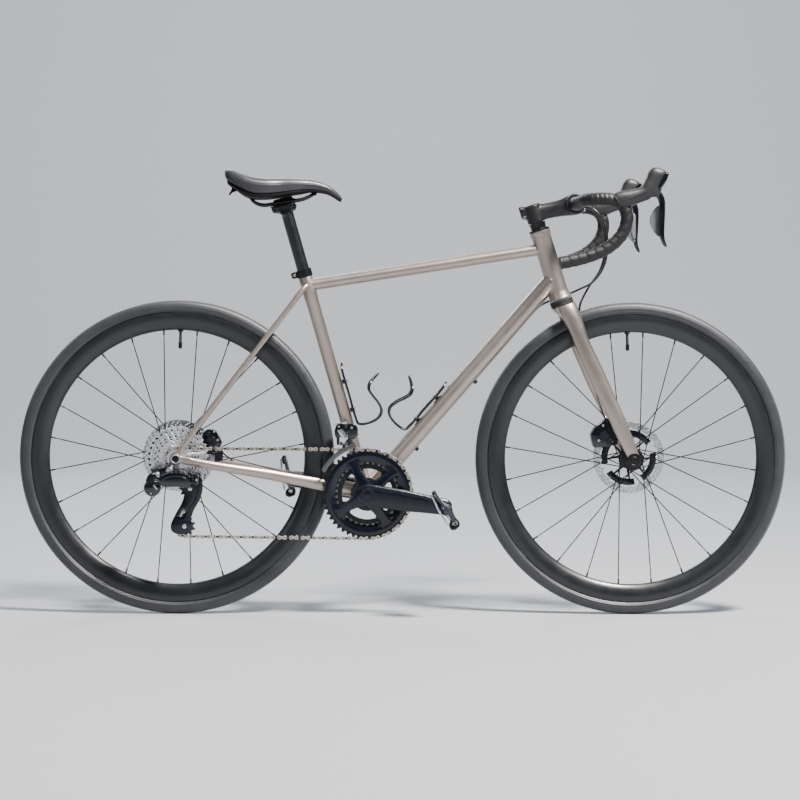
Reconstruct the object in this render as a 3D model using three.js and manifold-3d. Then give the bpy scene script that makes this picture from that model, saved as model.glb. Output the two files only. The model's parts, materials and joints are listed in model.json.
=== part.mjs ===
// Road bicycle. +X points forward, +Y to the rider's left, +Z up, and lengths are millimetres.
// The origin is on the ground, midway between the two tyre contacts.

import * as THREE from 'three';
import { mergeVertices } from 'three/addons/utils/BufferGeometryUtils.js';
import Module from 'manifold-3d';

const wasm = await Module();
wasm.setup();

// ---------------------------------------------------------------- driving dimensions

const GAP = 0.3;                                // between pieces that touch
const RIGHT = -1;
const LEFT = 1;
const degrees = THREE.MathUtils.degToRad;
const v = (x, y, z) => new THREE.Vector3(x, y, z);

const WHEEL_RADIUS = 344;                       // 700 x 32 tyre
const WHEELBASE = 998;
const TYRE_WIDTH = 32;
const RIM_RADIUS = 316;
const RIM_DEPTH = 38;
const SPOKES = 24;
const SPOKE_CROSS = degrees(84);                // from a spoke's rim end to its hub end
const FRONT_SPOKE_TURN = degrees(-20.1);        // of the first spoke's rim end, from straight forward
const REAR_SPOKE_TURN = degrees(-23.8);
const WHEEL_SIDES = 36;
const FRONT_AXLE = v(WHEELBASE / 2, 0, WHEEL_RADIUS);
const REAR_AXLE = v(-WHEELBASE / 2, 0, WHEEL_RADIUS);
const THRU_AXLE_RADIUS = 6;
const ROTOR_RADIUS = 80;
const FRONT_ROTOR_Y = 35;
const REAR_ROTOR_Y = 56;

const HEAD_ANGLE = degrees(72.3);
const FORK_RAKE = 44;
const HEAD_BOTTOM = 694;                        // heights on the steering axis
const HEAD_TOP = 843;
const CROWN_TOP = 681;
const STEM_BOTTOM = 862;
const STEM_TOP = 899;
const STEERER_RADIUS = 14.3;

const BB = v(-83, 0, 267);
const SEAT_ANGLE = degrees(73.8);
const SEAT_TUBE_TOP = 749;
const SEAT_TUBE_RADIUS = 14.3;
const POST_RADIUS = 13.6;
const POST_TOP = 882;
const TOP_TUBE = [v(-213, 0, 721.5), v(306, 0, 805)];
const TOP_TUBE_RADIUS = 12.7;
const DOWN_TUBE = [v(-84, 0, 267), v(326, 0, 742)];
const DOWN_TUBE_RADIUS = 19;
const TUBE_WALL = 1.8;
const BB_SHELL_RADIUS = 22;
const BB_SHELL_HALF = 38;
const BB_BORE_RADIUS = 19.4;
const DROPOUT_INNER_Y = 71.2;
const DROPOUT_OUTER_Y = 77;

const BAR_CLAMP = v(371, 0, 903);
const BAR_RADIUS = 12;
const BAR_CLAMP_RADIUS = 15.9;
const TAPE_RADIUS = 14;
const LEVER_PIVOT = v(521, 205, 919);           // the left one; the right one mirrors it

const CRANK_LENGTH = 172.5;
const CRANK_ANGLE = degrees(-8.8);              // of the right arm, from straight forward
const CRANK_FACE_Y = 74;
const SPINDLE_RADIUS = 14.5;
const PEDAL_PIN_RADIUS = 5;

const PITCH = 12.7;                             // of the chain
const pitchRadius = (teeth) => PITCH / 2 / Math.sin(Math.PI / teeth);
const OUTER_RING = { centre: BB, radius: pitchRadius(48), y: -47, side: 1 };
const INNER_RING = { radius: pitchRadius(34), y: -40 };
const COG = { centre: REAR_AXLE, radius: pitchRadius(11), y: -66, side: 1 };
const CHAIN_HALF_HEIGHT = 4.2;
const CHAIN_WIDTH = 6.6;
const TOOTH_ROOM = 4.7;                         // plain discs stay this far inside the pitch circle
const CAGE_PIVOT = v(-467, 0, 303);
const GUIDE_FROM_PIVOT = v(-2, 0, -23);
const TENSION_FROM_PIVOT = v(-19, 0, -104);
const LINK_SLANT = degrees(35);

// ---------------------------------------------------------------- shape helpers

// A bare, welded copy of a geometry with its faces pointing out.
function welded(geometry) {
  const bare = new THREE.BufferGeometry();
  bare.setAttribute('position', geometry.getAttribute('position').clone());
  if (geometry.index) bare.setIndex(geometry.index.clone());
  const merged = mergeVertices(bare, 1e-3);
  const at = merged.getAttribute('position');
  const corners = [v(0, 0, 0), v(0, 0, 0), v(0, 0, 0)];
  const kept = [];
  let volume = 0;
  for (let i = 0; i < merged.index.count; i += 3) {
    const triangle = [0, 1, 2].map((k) => merged.index.getX(i + k));
    if (new Set(triangle).size < 3) continue;
    triangle.forEach((vertex, k) => corners[k].fromBufferAttribute(at, vertex));
    volume += corners[0].dot(corners[1].clone().cross(corners[2]));
    kept.push(triangle);
  }
  merged.setIndex(kept.flatMap(([a, b, c]) => (volume < 0 ? [a, c, b] : [a, b, c])));
  return merged;
}

function toSolid(geometry) {
  const mesh = welded(geometry);
  return new wasm.Manifold(new wasm.Mesh({
    numProp: 3,
    vertProperties: new Float32Array(mesh.getAttribute('position').array),
    triVerts: new Uint32Array(mesh.index.array),
  }));
}

function toGeometry(solid) {
  const mesh = solid.getMesh();
  const geometry = new THREE.BufferGeometry();
  geometry.setAttribute('position', new THREE.BufferAttribute(mesh.vertProperties, 3));
  geometry.setIndex(new THREE.BufferAttribute(mesh.triVerts, 1));
  return geometry;
}

const join = (...pieces) => toGeometry(pieces.map(toSolid).reduce((a, b) => a.add(b)));
const cut = (piece, ...tools) => toGeometry(
  tools.map(toSolid).reduce((a, b) => a.subtract(b), toSolid(piece)));
const mirrored = (geometry) => welded(geometry.clone().scale(1, -1, 1));

// A round bar from a to b; the two ends may have different radii.
function rod(a, b, radiusA, radiusB = radiusA, sides = 16) {
  const along = b.clone().sub(a);
  const turn = new THREE.Quaternion().setFromUnitVectors(v(0, 1, 0), along.clone().normalize());
  const middle = a.clone().add(b).multiplyScalar(0.5);
  return new THREE.CylinderGeometry(radiusB, radiusA, along.length(), sides)
    .applyQuaternion(turn).translate(middle.x, middle.y, middle.z);
}

// A round bar across the bicycle, centred on a point's x and z.
const axleRod = (centre, y0, y1, radius, sides = 16) =>
  rod(v(centre.x, y0, centre.z), v(centre.x, y1, centre.z), radius, radius, sides);

// A turned piece about the Y axis from [radius, y] corners; the profile closes on itself.
function turned(corners, sides = 20) {
  const profile = [...corners, corners[0]].map(([radius, y]) => new THREE.Vector2(radius, y));
  return new THREE.LatheGeometry(profile, sides);
}

const placed = (geometry, at) => geometry.translate(at.x, at.y, at.z);

// A plate from an outline of [x, z] corners, between two values of y.
function plate(outline, y0, y1, hole = null) {
  const shape = new THREE.Shape(outline.map(([x, z]) => new THREE.Vector2(x, z)));
  if (hole) shape.holes.push(hole);
  const depth = Math.abs(y1 - y0);
  return new THREE.ExtrudeGeometry(shape, { depth, bevelEnabled: false, curveSegments: 6 })
    .rotateX(Math.PI / 2).translate(0, Math.max(y0, y1), 0);
}

const circle = (radius, sides, x = 0, z = 0) => Array.from({ length: sides }, (_, i) => {
  const angle = (2 * Math.PI * i) / sides;
  return [x + radius * Math.cos(angle), z + radius * Math.sin(angle)];
});

function block(x0, x1, y0, y1, z0, z1) {
  return new THREE.BoxGeometry(x1 - x0, y1 - y0, z1 - z0)
    .translate((x0 + x1) / 2, (y0 + y1) / 2, (z0 + z1) / 2);
}

// A tube of a constant section swept along a smooth curve.
function pipe(points, radius, steps, sides = 8, closed = false) {
  const shape = new THREE.Shape(circle(radius, sides).map(([x, y]) => new THREE.Vector2(x, y)));
  const extrudePath = new THREE.CatmullRomCurve3(points, closed, 'centripetal');
  return new THREE.ExtrudeGeometry(shape, { steps, extrudePath });
}

// A skin over rings of points, closed at both ends; all rings have the same count of points.
function loft(rings) {
  const count = rings[0].length;
  const last = (rings.length - 1) * count;
  const faces = [];
  for (let i = 0; i < last; i += count) {
    for (let j = 0; j < count; j += 1) {
      const k = (j + 1) % count;
      faces.push(i + j, i + k, i + count + k, i + j, i + count + k, i + count + j);
    }
  }
  for (let j = 1; j < count - 1; j += 1) faces.push(0, j + 1, j, last, last + j, last + j + 1);
  const geometry = new THREE.BufferGeometry().setFromPoints(rings.flat());
  geometry.setIndex(faces);
  return geometry;
}

// An oval ring across the direction +X, for lofts that run fore and aft.
const ovalAcrossX = ([x, y, z, halfY, halfZ], sides = 10) =>
  circle(1, sides).map(([c, s]) => v(x, y + halfY * c, z + halfZ * s));

// An oval ring in a level plane, for lofts that run up and down.
const ovalAcrossZ = ([x, y, z, halfX, halfY], sides = 10) =>
  circle(1, sides).map(([c, s]) => v(x + halfX * c, y + halfY * s, z));

// ---------------------------------------------------------------- axes of the frame

const STEER_X = FRONT_AXLE.x - FORK_RAKE / Math.sin(HEAD_ANGLE);
const steerAt = (z) => v(STEER_X - (z - WHEEL_RADIUS) / Math.tan(HEAD_ANGLE), 0, z);
const seatAt = (z) => v(BB.x - (z - BB.z) / Math.tan(SEAT_ANGLE), 0, z);
const headLength = (HEAD_TOP - HEAD_BOTTOM) / Math.sin(HEAD_ANGLE);

// Stands a turned piece on the steering axis, its own zero at the height z.
const onSteerer = (geometry, z) =>
  placed(geometry.rotateX(Math.PI / 2).rotateY(HEAD_ANGLE - Math.PI / 2), steerAt(z));

const tubeAlong = ([a, b], radius) => rod(a, b, radius);

// ---------------------------------------------------------------- frame

function headTubeOutline(extra) {
  return [[25.5 + extra, 0], [25.5 + extra, 5], [21.5 + extra, 24], [21.5 + extra, headLength - 12],
    [22.5 + extra, headLength - 6], [22.5 + extra, headLength]];
}

const headTube = () => onSteerer(
  turned([[17, 0], ...headTubeOutline(0), [17, headLength]]), HEAD_BOTTOM);
const headTubeFilled = (extra) => onSteerer(
  turned([[0, 0], ...headTubeOutline(extra), [0, headLength]]), HEAD_BOTTOM);

const seatTubeFilled = (extra) => join(
  rod(BB, seatAt(SEAT_TUBE_TOP), SEAT_TUBE_RADIUS + extra),
  rod(seatAt(690), seatAt(SEAT_TUBE_TOP), 15.2 + extra),
  axleRod(BB, -BB_SHELL_HALF - extra, BB_SHELL_HALF + extra, BB_SHELL_RADIUS + extra));

const topTube = () => cut(tubeAlong(TOP_TUBE, TOP_TUBE_RADIUS),
  tubeAlong(TOP_TUBE, TOP_TUBE_RADIUS - TUBE_WALL), headTubeFilled(GAP), seatTubeFilled(GAP));

const downTubeFilled = (extra) => tubeAlong(DOWN_TUBE, DOWN_TUBE_RADIUS + extra);
const downTube = () => cut(downTubeFilled(0), tubeAlong(DOWN_TUBE, DOWN_TUBE_RADIUS - TUBE_WALL),
  headTubeFilled(GAP), seatTubeFilled(GAP), tubeAlong(TOP_TUBE, TOP_TUBE_RADIUS + GAP));

const seatTube = () => cut(seatTubeFilled(0),
  rod(seatAt(BB.z), seatAt(SEAT_TUBE_TOP + 5), POST_RADIUS + GAP),
  axleRod(BB, -BB_SHELL_HALF - 5, BB_SHELL_HALF + 5, BB_BORE_RADIUS));

// Fore-and-aft stations of the left chain stay: x, y, z, half width, half height.
const CHAIN_STAY = [
  [-482, 73.5, 340, 3.4, 8.5],
  [-455, 71.5, 336, 5.5, 9],
  [-412, 67.5, 328, 6.5, 9.5],
  [-300, 49, 309.5, 8, 11.5],
  [-235, 38, 296.5, 7.5, 12.5],
  [-165, 29.5, 283, 7, 14],
  [-100, 27, 271, 7, 15],
];

// Side outlines [x, z] of the dropouts; both share the edge from the tail up to the stays.
const DROPOUT_TOP = [[-510, 350], [-500, 360], [-486, 374], [-475, 386], [-464, 377], [-468, 361],
  [-457, 346], [-459, 328]];
const DROPOUT_LEFT = [...DROPOUT_TOP, [-486, 330], [-503, 332], [-510, 341]];
const DROPOUT_RIGHT = [...DROPOUT_TOP, [-486, 328], [-497, 321], [-502, 311], [-513, 309], [-519, 316],
  [-511, 334]];

function dropout(outline, extra) {
  const outer = plate(outline, DROPOUT_INNER_Y - extra, DROPOUT_OUTER_Y + extra);
  return cut(outer, axleRod(REAR_AXLE, 60, 90, THRU_AXLE_RADIUS + 0.5, 12));
}

// The left stay with its dropout; the right one is mirrored and has the derailleur hanger.
function chainStay(outline) {
  const arm = cut(loft(CHAIN_STAY.map((station) => ovalAcrossX(station))), seatTubeFilled(GAP),
    downTubeFilled(GAP), axleRod(REAR_AXLE, 60, 90, 19, 12));
  return join(arm, dropout(outline, 0));
}

// Stations of the left seat stay from the seat tube down: x, y, z, half depth, half width.
const SEAT_STAY = [[-214, 8, 723, 7.5, 6], [-226, 15, 712, 7.5, 6], [-452, 66, 414, 7.5, 6],
  [-474, 73.2, 385, 5.4, 4], [-484, 73.8, 371, 4.6, 3.4]];

const seatStay = () => cut(loft(SEAT_STAY.map((station) => ovalAcrossZ(station, 10))), seatTubeFilled(GAP),
  plate(DROPOUT_TOP, DROPOUT_INNER_Y - GAP, 90), tubeAlong(TOP_TUBE, TOP_TUBE_RADIUS + GAP));

const COLLAR_RADIUS = 17.4;

function seatCollar() {
  const bottom = seatAt(741);
  const top = seatAt(756);
  const lug = block(-252, -236, -6, 6, 744, 757);
  return cut(join(rod(bottom, top, COLLAR_RADIUS), lug), rod(seatAt(735), seatAt(762), 15.2 + GAP));
}

// ---------------------------------------------------------------- seat

const seatPostHead = (extra) => axleRod(v(-266, 0, 884), -13 - extra, 13 + extra, 12 + extra);
const seatPost = () => join(rod(seatAt(600), seatAt(POST_TOP), POST_RADIUS), seatPostHead(0));

// The right half of the rail, from its tail end to its loop under the nose.
const RAIL = [v(-343, -19, 924), v(-338, -19, 908), v(-326, -20, 898), v(-312, -22, 896),
  v(-298, -22, 897.5), v(-252, -22, 905), v(-226, -20, 910), v(-208, -14, 918), v(-202, 0, 921)];
const RAIL_RADIUS = 3.5;
const railPath = [...RAIL, ...RAIL.slice(0, -1).reverse().map((p) => v(p.x, -p.y, p.z))];
const saddleRails = (extra = 0) => pipe(railPath, RAIL_RADIUS + extra, 34, 6);

const saddleClamp = () => cut(
  plate([[-301, 905], [-240, 913], [-240, 894], [-262, 884], [-291, 881], [-301, 889]], -28, 28),
  seatPostHead(GAP), rod(seatAt(800), seatAt(POST_TOP), POST_RADIUS + GAP), saddleRails(GAP));

// Stations of the saddle from tail to nose: x, half width, top, lower edge.
const SADDLE = [[-395, 34, 971, 958], [-386, 58, 972, 946], [-366, 70, 965, 931],
  [-340, 74, 958, 919], [-300, 70, 954, 917], [-264, 52, 954, 923], [-228, 32, 953, 928],
  [-190, 23, 947, 927], [-165, 20, 936, 920], [-148, 15, 923, 910], [-140, 8, 912, 906]];

// One cross-section: crowned on top, rounded at the shoulders, hollow underneath.
function saddleRing([x, half, top, edge]) {
  const height = top - edge;
  const right = [[0.4, top], [0.82, top - 0.09 * height], [0.98, edge + 0.68 * height], [1, edge + 2],
    [0.93, edge], [0.5, edge + 0.42 * height]];
  const ring = [...right.map(([k, z]) => [-k, z]), ...right.slice().reverse()];
  return ring.map(([k, z]) => v(x, k * half, z));
}

const saddle = () => cut(loft(SADDLE.map(saddleRing)), saddleRails(GAP));

// ---------------------------------------------------------------- bottle cages

// One closed wire, left half: along the tube, out from the tube, across.
const CAGE_WIRE = [[141, 3, 0], [128, 0, 12], [70, 0, 13], [18, 0, 13], [4, 3, 13], [0, 28, 15],
  [6, 50, 21], [18, 59, 28], [36, 57, 34], [56, 49, 39], [70, 45, 40.5], [80, 48.5, 39], [90, 60, 28],
  [98, 74, 0]];
const CAGE_WIRE_RADIUS = 2.6;
const CAGE_BOLTS = [38, 102];                   // along the tube from the cage's foot

function bottleCage(foot, along, out) {
  const at = ([s, w, y]) => foot.clone().addScaledVector(along, s).addScaledVector(out, w)
    .add(v(0, y, 0));
  const half = CAGE_WIRE.map(at);
  const rest = CAGE_WIRE.slice(1, -1).reverse().map(([s, w, y]) => at([s, w, -y]));
  const boss = (s) => rod(at([s, -1.5, 0]), at([s, 1.5, 0]), 8, 8, 6);
  const cross = (s) => rod(at([s, 0, -14]), at([s, 0, 14]), 1.9, 1.9, 4);
  return join(pipe([...half, ...rest], CAGE_WIRE_RADIUS, 42, 5, true), ...CAGE_BOLTS.map(boss),
    ...CAGE_BOLTS.map(cross));
}

const along = ([a, b]) => b.clone().sub(a).normalize();
const seatTubeAlong = along([BB, seatAt(700)]);
const seatTubeOut = v(seatTubeAlong.z, 0, -seatTubeAlong.x);
const downTubeAlong = along(DOWN_TUBE);
const downTubeOut = v(-downTubeAlong.z, 0, downTubeAlong.x);
const CAGE_STAND_OFF = 7;
const SEAT_CAGE_HEIGHT = 147;                   // of a cage's foot along its tube from the crank's axis
const DOWN_CAGE_HEIGHT = 156;
const SEAT_CAGE_FOOT = BB.clone().addScaledVector(seatTubeAlong, SEAT_CAGE_HEIGHT)
  .addScaledVector(seatTubeOut, SEAT_TUBE_RADIUS + CAGE_STAND_OFF);
const DOWN_CAGE_FOOT = BB.clone().addScaledVector(downTubeAlong, DOWN_CAGE_HEIGHT)
  .addScaledVector(downTubeOut, DOWN_TUBE_RADIUS + CAGE_STAND_OFF);

// ---------------------------------------------------------------- steering

const tyreRoom = (axle) => axleRod(axle, -22, 22, WHEEL_RADIUS + 6, WHEEL_SIDES);

// Stations of the left fork blade from the crown down: x, y, z, half depth, half width.
const FORK_BLADE = [
  [349, 16, 684, 24, 20], [358, 26, 662, 22, 17], [374, 37, 622, 19, 12], [397, 42, 570, 20.2, 11],
  [424, 46.5, 511, 20.4, 10], [453, 51, 452, 19.2, 8.5], [481, 54.4, 389, 17.5, 5.6], [497, 55, 354, 14.5, 4],
];
const FORK_BOSS_RADIUS = 15;

function fork() {
  const blade = loft(FORK_BLADE.map((station) => ovalAcrossZ(station)));
  const foot = axleRod(FRONT_AXLE, 50.6, 58.5, FORK_BOSS_RADIUS, 24);
  const half = cut(join(blade, foot), axleRod(FRONT_AXLE, 40, 70, THRU_AXLE_RADIUS + 0.5, 12));
  const crown = onSteerer(turned([[0, -20], [22, -20], [25.5, -6], [25.5, -GAP], [0, -GAP]]), CROWN_TOP);
  const steerer = rod(steerAt(CROWN_TOP - 8), steerAt(STEM_TOP - 8), STEERER_RADIUS);
  return join(cut(join(half, mirrored(half), crown), tyreRoom(FRONT_AXLE), aboveCrown()), steerer);
}

// Everything above the crown's sloping top face, within reach of the blades' tops.
const aboveCrown = () => onSteerer(turned([[0, -GAP], [70, -GAP], [70, 40], [0, 40]], 12), CROWN_TOP);

const CUP_BORE = STEERER_RADIUS + 0.5;
const lowerCup = () => onSteerer(turned([[CUP_BORE, 0], [25.5, 0], [25.5, 13], [CUP_BORE, 13]]),
  CROWN_TOP);
const upperCup = () => onSteerer(turned([[CUP_BORE, 0], [22.5, 0], [22.5, 7], [18.5, 19.4],
  [CUP_BORE, 19.4]]), HEAD_TOP + GAP);

function stem() {
  const height = (STEM_TOP - STEM_BOTTOM) / Math.sin(HEAD_ANGLE);
  const clamp = onSteerer(turned([[0, GAP], [19.5, GAP], [19.5, height], [0, height]]), STEM_BOTTOM);
  const lug = block(252, 272, -11, 11, 872, 895);
  const neck = loft([ovalAcrossX([282, 0, 882, 17, 17]), ovalAcrossX([330, 0, 892.5, 14.5, 15]),
    ovalAcrossX([358, 0, 899.5, 17, 17])]);
  const barClamp = axleRod(BAR_CLAMP, -23, 23, 22, 20);
  return cut(join(clamp, lug, neck, barClamp),
    rod(steerAt(850), steerAt(STEM_TOP - 5), STEERER_RADIUS + GAP),
    axleRod(BAR_CLAMP, -30, 30, BAR_CLAMP_RADIUS + GAP, 16));
}

// The left half of the handlebar, from the middle to the end of the drop.
const BAR_HALF = [v(371, 0, 903), v(371, 60, 903), v(371, 150, 903), v(375, 180, 903.5), v(389, 197, 904.5),
  v(410, 203, 905), v(432, 205, 902.5), v(449, 205, 893), v(457.5, 205, 877), v(458.5, 205, 857),
  v(450, 205, 833), v(432, 205.5, 812), v(407, 206, 795), v(371, 207, 781), v(320, 208, 769)];
const barPath = [...BAR_HALF.slice(1).reverse().map((p) => v(p.x, -p.y, p.z)), ...BAR_HALF];
const BAR_STEPS = 44;
const barTube = (radius) => pipe(barPath, radius, BAR_STEPS, 8);
const handlebar = () => join(barTube(BAR_RADIUS), axleRod(BAR_CLAMP, -42, 42, BAR_CLAMP_RADIUS, 16));

const tapePath = [...BAR_HALF.slice(1, -1), v(321, 208, 769.2)];
const tapeOutside = (extra) => pipe(tapePath, TAPE_RADIUS + extra, 18, 8);
const barTape = () => cut(tapeOutside(0), barTube(BAR_RADIUS + GAP), block(340, 400, -10, 72, 870, 930));

const HOOD = [[427, 914], [449, 921.5], [487, 928], [494, 935], [502, 954], [508, 967], [519, 972],
  [534, 969], [543, 958], [533, 934], [526, 915], [500, 906], [480, 897], [472, 884], [449, 882],
  [436, 890]];

function hood() {
  const shape = new THREE.Shape(HOOD.map(([x, z]) => new THREE.Vector2(x, z)));
  const bevel = { depth: 24, bevelThickness: 6, bevelSize: 5, bevelOffset: -5, bevelSegments: 1 };
  const body = new THREE.ExtrudeGeometry(shape, bevel).rotateX(Math.PI / 2)
    .translate(0, LEVER_PIVOT.y + 12, 0);
  const slot = block(507, 560, LEVER_PIVOT.y - 7.5, LEVER_PIVOT.y + 7.5, 880, 931);
  const pin = axleRod(LEVER_PIVOT, LEVER_PIVOT.y - 12, LEVER_PIVOT.y + 12, LEVER_PIN_RADIUS, 8);
  return join(cut(body, tapeOutside(1.2), slot), pin);
}

const LEVER = [[514, 925], [525, 926], [533, 912], [537, 890], [537, 860], [536, 832], [544, 809],
  [540, 804], [533, 808], [528, 828], [527, 860], [526, 890], [515, 911]];
const LEVER_PIN_RADIUS = 2;

const brakeLever = () => cut(plate(LEVER, LEVER_PIVOT.y - 6, LEVER_PIVOT.y + 6),
  axleRod(LEVER_PIVOT, 180, 230, LEVER_PIN_RADIUS + GAP, 8));

const PADDLE = [[531, 886], [519, 884], [509, 868], [513, 845], [526, 826], [531, 828]];
const shiftPaddle = () => plate(PADDLE, LEVER_PIVOT.y - 9.5, LEVER_PIVOT.y - 6.5);

const FRONT_HOSE = [v(387, 65, 894), v(402, 57, 898), v(419, 48, 891), v(434, 43, 866), v(444, 42, 831),
  v(441, 42, 787), v(431, 42, 757), v(412, 42, 729), v(399, 43, 706), v(390, 44, 686), v(386, 44, 668)];
const REAR_HOSE = [v(387, 52, 894), v(402, 44, 898), v(421, 37, 891), v(437, 34, 866), v(447, 33, 831),
  v(445, 33, 787), v(435, 33, 758), v(414, 34, 732), v(388, 35, 718), v(352, 34, 702), v(318, 30, 690),
  v(300, 25, 681), v(290, 20.5, 672)];
const HOSE_RADIUS = 2.5;

const frontHose = () => cut(pipe(FRONT_HOSE, HOSE_RADIUS, 24, 8), forkOutside(GAP));
const rearHose = () => cut(pipe(REAR_HOSE, HOSE_RADIUS, 32, 8), downTubeFilled(GAP));

const forkOutside = (extra) => loft(FORK_BLADE.map(([x, y, z, depth, width]) =>
  ovalAcrossZ([x, y, z, depth + extra, width + extra])));

// ---------------------------------------------------------------- brakes

const rotorRoom = (axle, y) => axleRod(axle, y - 1.9, y + 1.9, ROTOR_RADIUS + 2, 24);

function frontCaliper() {
  const body = plate([[449, 432], [470, 388], [474, 372], [440, 366], [422, 368], [413, 386], [420, 404],
    [436, 424]], 24, 58);
  return cut(body, forkOutside(GAP), rotorRoom(FRONT_AXLE, FRONT_ROTOR_Y));
}

function rearCaliper() {
  const body = plate([[-449, 392], [-446, 366], [-440, 340], [-404, 332], [-402, 374], [-418, 402],
    [-436, 405]], 42, 74);
  const stay = loft(CHAIN_STAY.map(([x, y, z, halfY, halfZ]) =>
    ovalAcrossX([x, y, z, halfY + GAP, halfZ + GAP])));
  return cut(body, stay, rotorRoom(REAR_AXLE, REAR_ROTOR_Y), block(-460, -390, 40, 61, 320, 348),
    block(-460, -390, 60, 80, 310, 330));
}

function rotor(axle, y) {
  const outline = new THREE.Shape(circle(ROTOR_RADIUS, 28).map(([x, z]) => new THREE.Vector2(x, z)));
  const hub = new THREE.Path(circle(16, 12).map(([x, z]) => new THREE.Vector2(x, z)));
  outline.holes.push(hub);
  for (let arm = 0; arm < 5; arm += 1) {
    const window = [[26, 10], [50, 6], [50, 60], [38, 65], [26, 50]].map(([radius, angle]) => {
      const turn = degrees(angle + arm * 72);
      return new THREE.Vector2(radius * Math.cos(turn), radius * Math.sin(turn));
    });
    outline.holes.push(new THREE.Path(window));
  }
  return placed(new THREE.ExtrudeGeometry(outline, { depth: 1.8, bevelEnabled: false }).rotateX(Math.PI / 2)
    .translate(0, y + 0.9, 0), axle);
}

// ---------------------------------------------------------------- wheels

function tyre(axle) {
  const half = TYRE_WIDTH / 2;
  const crown = WHEEL_RADIUS;
  const bead = RIM_RADIUS + 0.6;
  return placed(turned([[bead, -half + 5], [crown - 16, -half], [crown - 6, -half + 4], [crown, -4],
    [crown, 4], [crown - 6, half - 4], [crown - 16, half], [bead, half - 5], [bead + 9, 0]],
  WHEEL_SIDES), axle);
}

function rim(axle) {
  const inner = RIM_RADIUS - RIM_DEPTH;
  return placed(turned([[RIM_RADIUS, -13.5], [RIM_RADIUS, -11], [inner + 12, -8], [inner + 12, 8],
    [RIM_RADIUS, 11], [RIM_RADIUS, 13.5], [RIM_RADIUS - 14, 13.5], [inner, 4], [inner, -4],
    [RIM_RADIUS - 14, -13.5]], WHEEL_SIDES), axle);
}

// A hub shell with its spokes; each side has a flange at its own y and radius.
function hub(axle, shell, flanges, spokeTurn) {
  const pieces = [turned(shell, 12)];
  for (let i = 0; i < SPOKES; i += 1) {
    const flange = flanges[i % 2];
    const cross = i % 4 < 2 ? 1 : -1;
    const atRim = (i * 2 * Math.PI) / SPOKES + spokeTurn;
    const atHub = atRim + cross * SPOKE_CROSS;
    const tip = RIM_RADIUS - RIM_DEPTH - 3;
    pieces.push(rod(
      v(flange.radius * Math.cos(atHub), flange.y + cross * 1.7, flange.radius * Math.sin(atHub)),
      v(tip * Math.cos(atRim), Math.sign(flange.y) * 1.5, tip * Math.sin(atRim)), 1.1, 1.1, 3));
  }
  return placed(join(...pieces), axle);
}

const bore = THRU_AXLE_RADIUS + 0.5;
const FRONT_HUB_SHELL = [[bore, -50], [11, -50], [13, -38], [24, -34], [24, -29], [13, -25], [13, 15],
  [24, 19], [24, 24], [15, 28], [15, 38], [11, 50], [bore, 50]];
const REAR_HUB_SHELL = [[bore, -26], [27, -23], [27, -18], [16, -14], [16, 27], [25, 31], [25, 36],
  [15, 40], [15, 59], [11, 71], [bore, 71]];

const frontHub = () => hub(FRONT_AXLE, FRONT_HUB_SHELL,
  [{ y: -31.5, radius: 22 }, { y: 21.5, radius: 22 }], FRONT_SPOKE_TURN);
const rearHub = () => hub(REAR_AXLE, REAR_HUB_SHELL,
  [{ y: -20.5, radius: 25 }, { y: 33.5, radius: 23 }], REAR_SPOKE_TURN);

function thruAxle(axle, halfLength) {
  const head = halfLength + GAP;
  return placed(turned([[0, -halfLength], [THRU_AXLE_RADIUS, -halfLength], [THRU_AXLE_RADIUS, head],
    [9, head], [9, halfLength + 3], [0, halfLength + 3]], 12), axle);
}

// ---------------------------------------------------------------- chain drive

// The smallest cog is a plain disc inside the chain; the others climb in steps.
function cassette() {
  const steps = [[24.5, -61], [29, -55], [36, -47.5], [45, -41], [55, -35.5], [70.5, -31]];
  const back = -28.8;
  const ends = [...steps.slice(1).map(([, y]) => y), back];
  const face = steps.flatMap(([radius, y], i) => [[radius, y], [radius, ends[i]]]);
  const small = COG.radius - TOOTH_ROOM;
  return placed(turned([[bore, -70.6], [12, -70.6], [12, -68.5], [small, -68.5], [small, -61], ...face,
    [20, back], [20, -26.6], [bore, -26.6]], 18), REAR_AXLE);
}

const turnedBy = (point, angle) => point.clone().applyAxisAngle(v(0, 1, 0), angle);
const pulleyWheel = (fromPivot, cageTurn, side) => ({
  centre: CAGE_PIVOT.clone().add(turnedBy(fromPivot, cageTurn)), radius: COG.radius, side });
const pulleyPair = (cageTurn) => ({
  guide: pulleyWheel(GUIDE_FROM_PIVOT, cageTurn, -1),
  tension: pulleyWheel(TENSION_FROM_PIVOT, cageTurn, 1),
});

// The direction of the straight run that leaves wheel a and reaches wheel b. side is 1 where a wheel
// is on the left of the chain's travel, seen from the right of the bicycle.
function runAngle(a, b) {
  const dx = b.centre.x - a.centre.x;
  const dz = b.centre.z - a.centre.z;
  return Math.atan2(dz, dx) - Math.asin((b.side * b.radius - a.side * a.radius) / Math.hypot(dx, dz));
}

// Arcs and runs of the whole loop, in order: outer ring, cog, guide pulley, tension pulley.
function chainArcs(wheels) {
  return wheels.map((wheel, i) => {
    const arriving = runAngle(wheels[(i + wheels.length - 1) % wheels.length], wheel);
    const leaving = runAngle(wheel, wheels[(i + 1) % wheels.length]);
    const swing = ((leaving - arriving) * wheel.side + 4 * Math.PI) % (2 * Math.PI);
    return { wheel, arriving, swing };
  });
}

const edgePoint = (wheel, heading) => [
  wheel.centre.x + wheel.side * wheel.radius * Math.sin(heading),
  wheel.centre.z - wheel.side * wheel.radius * Math.cos(heading)];

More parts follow.
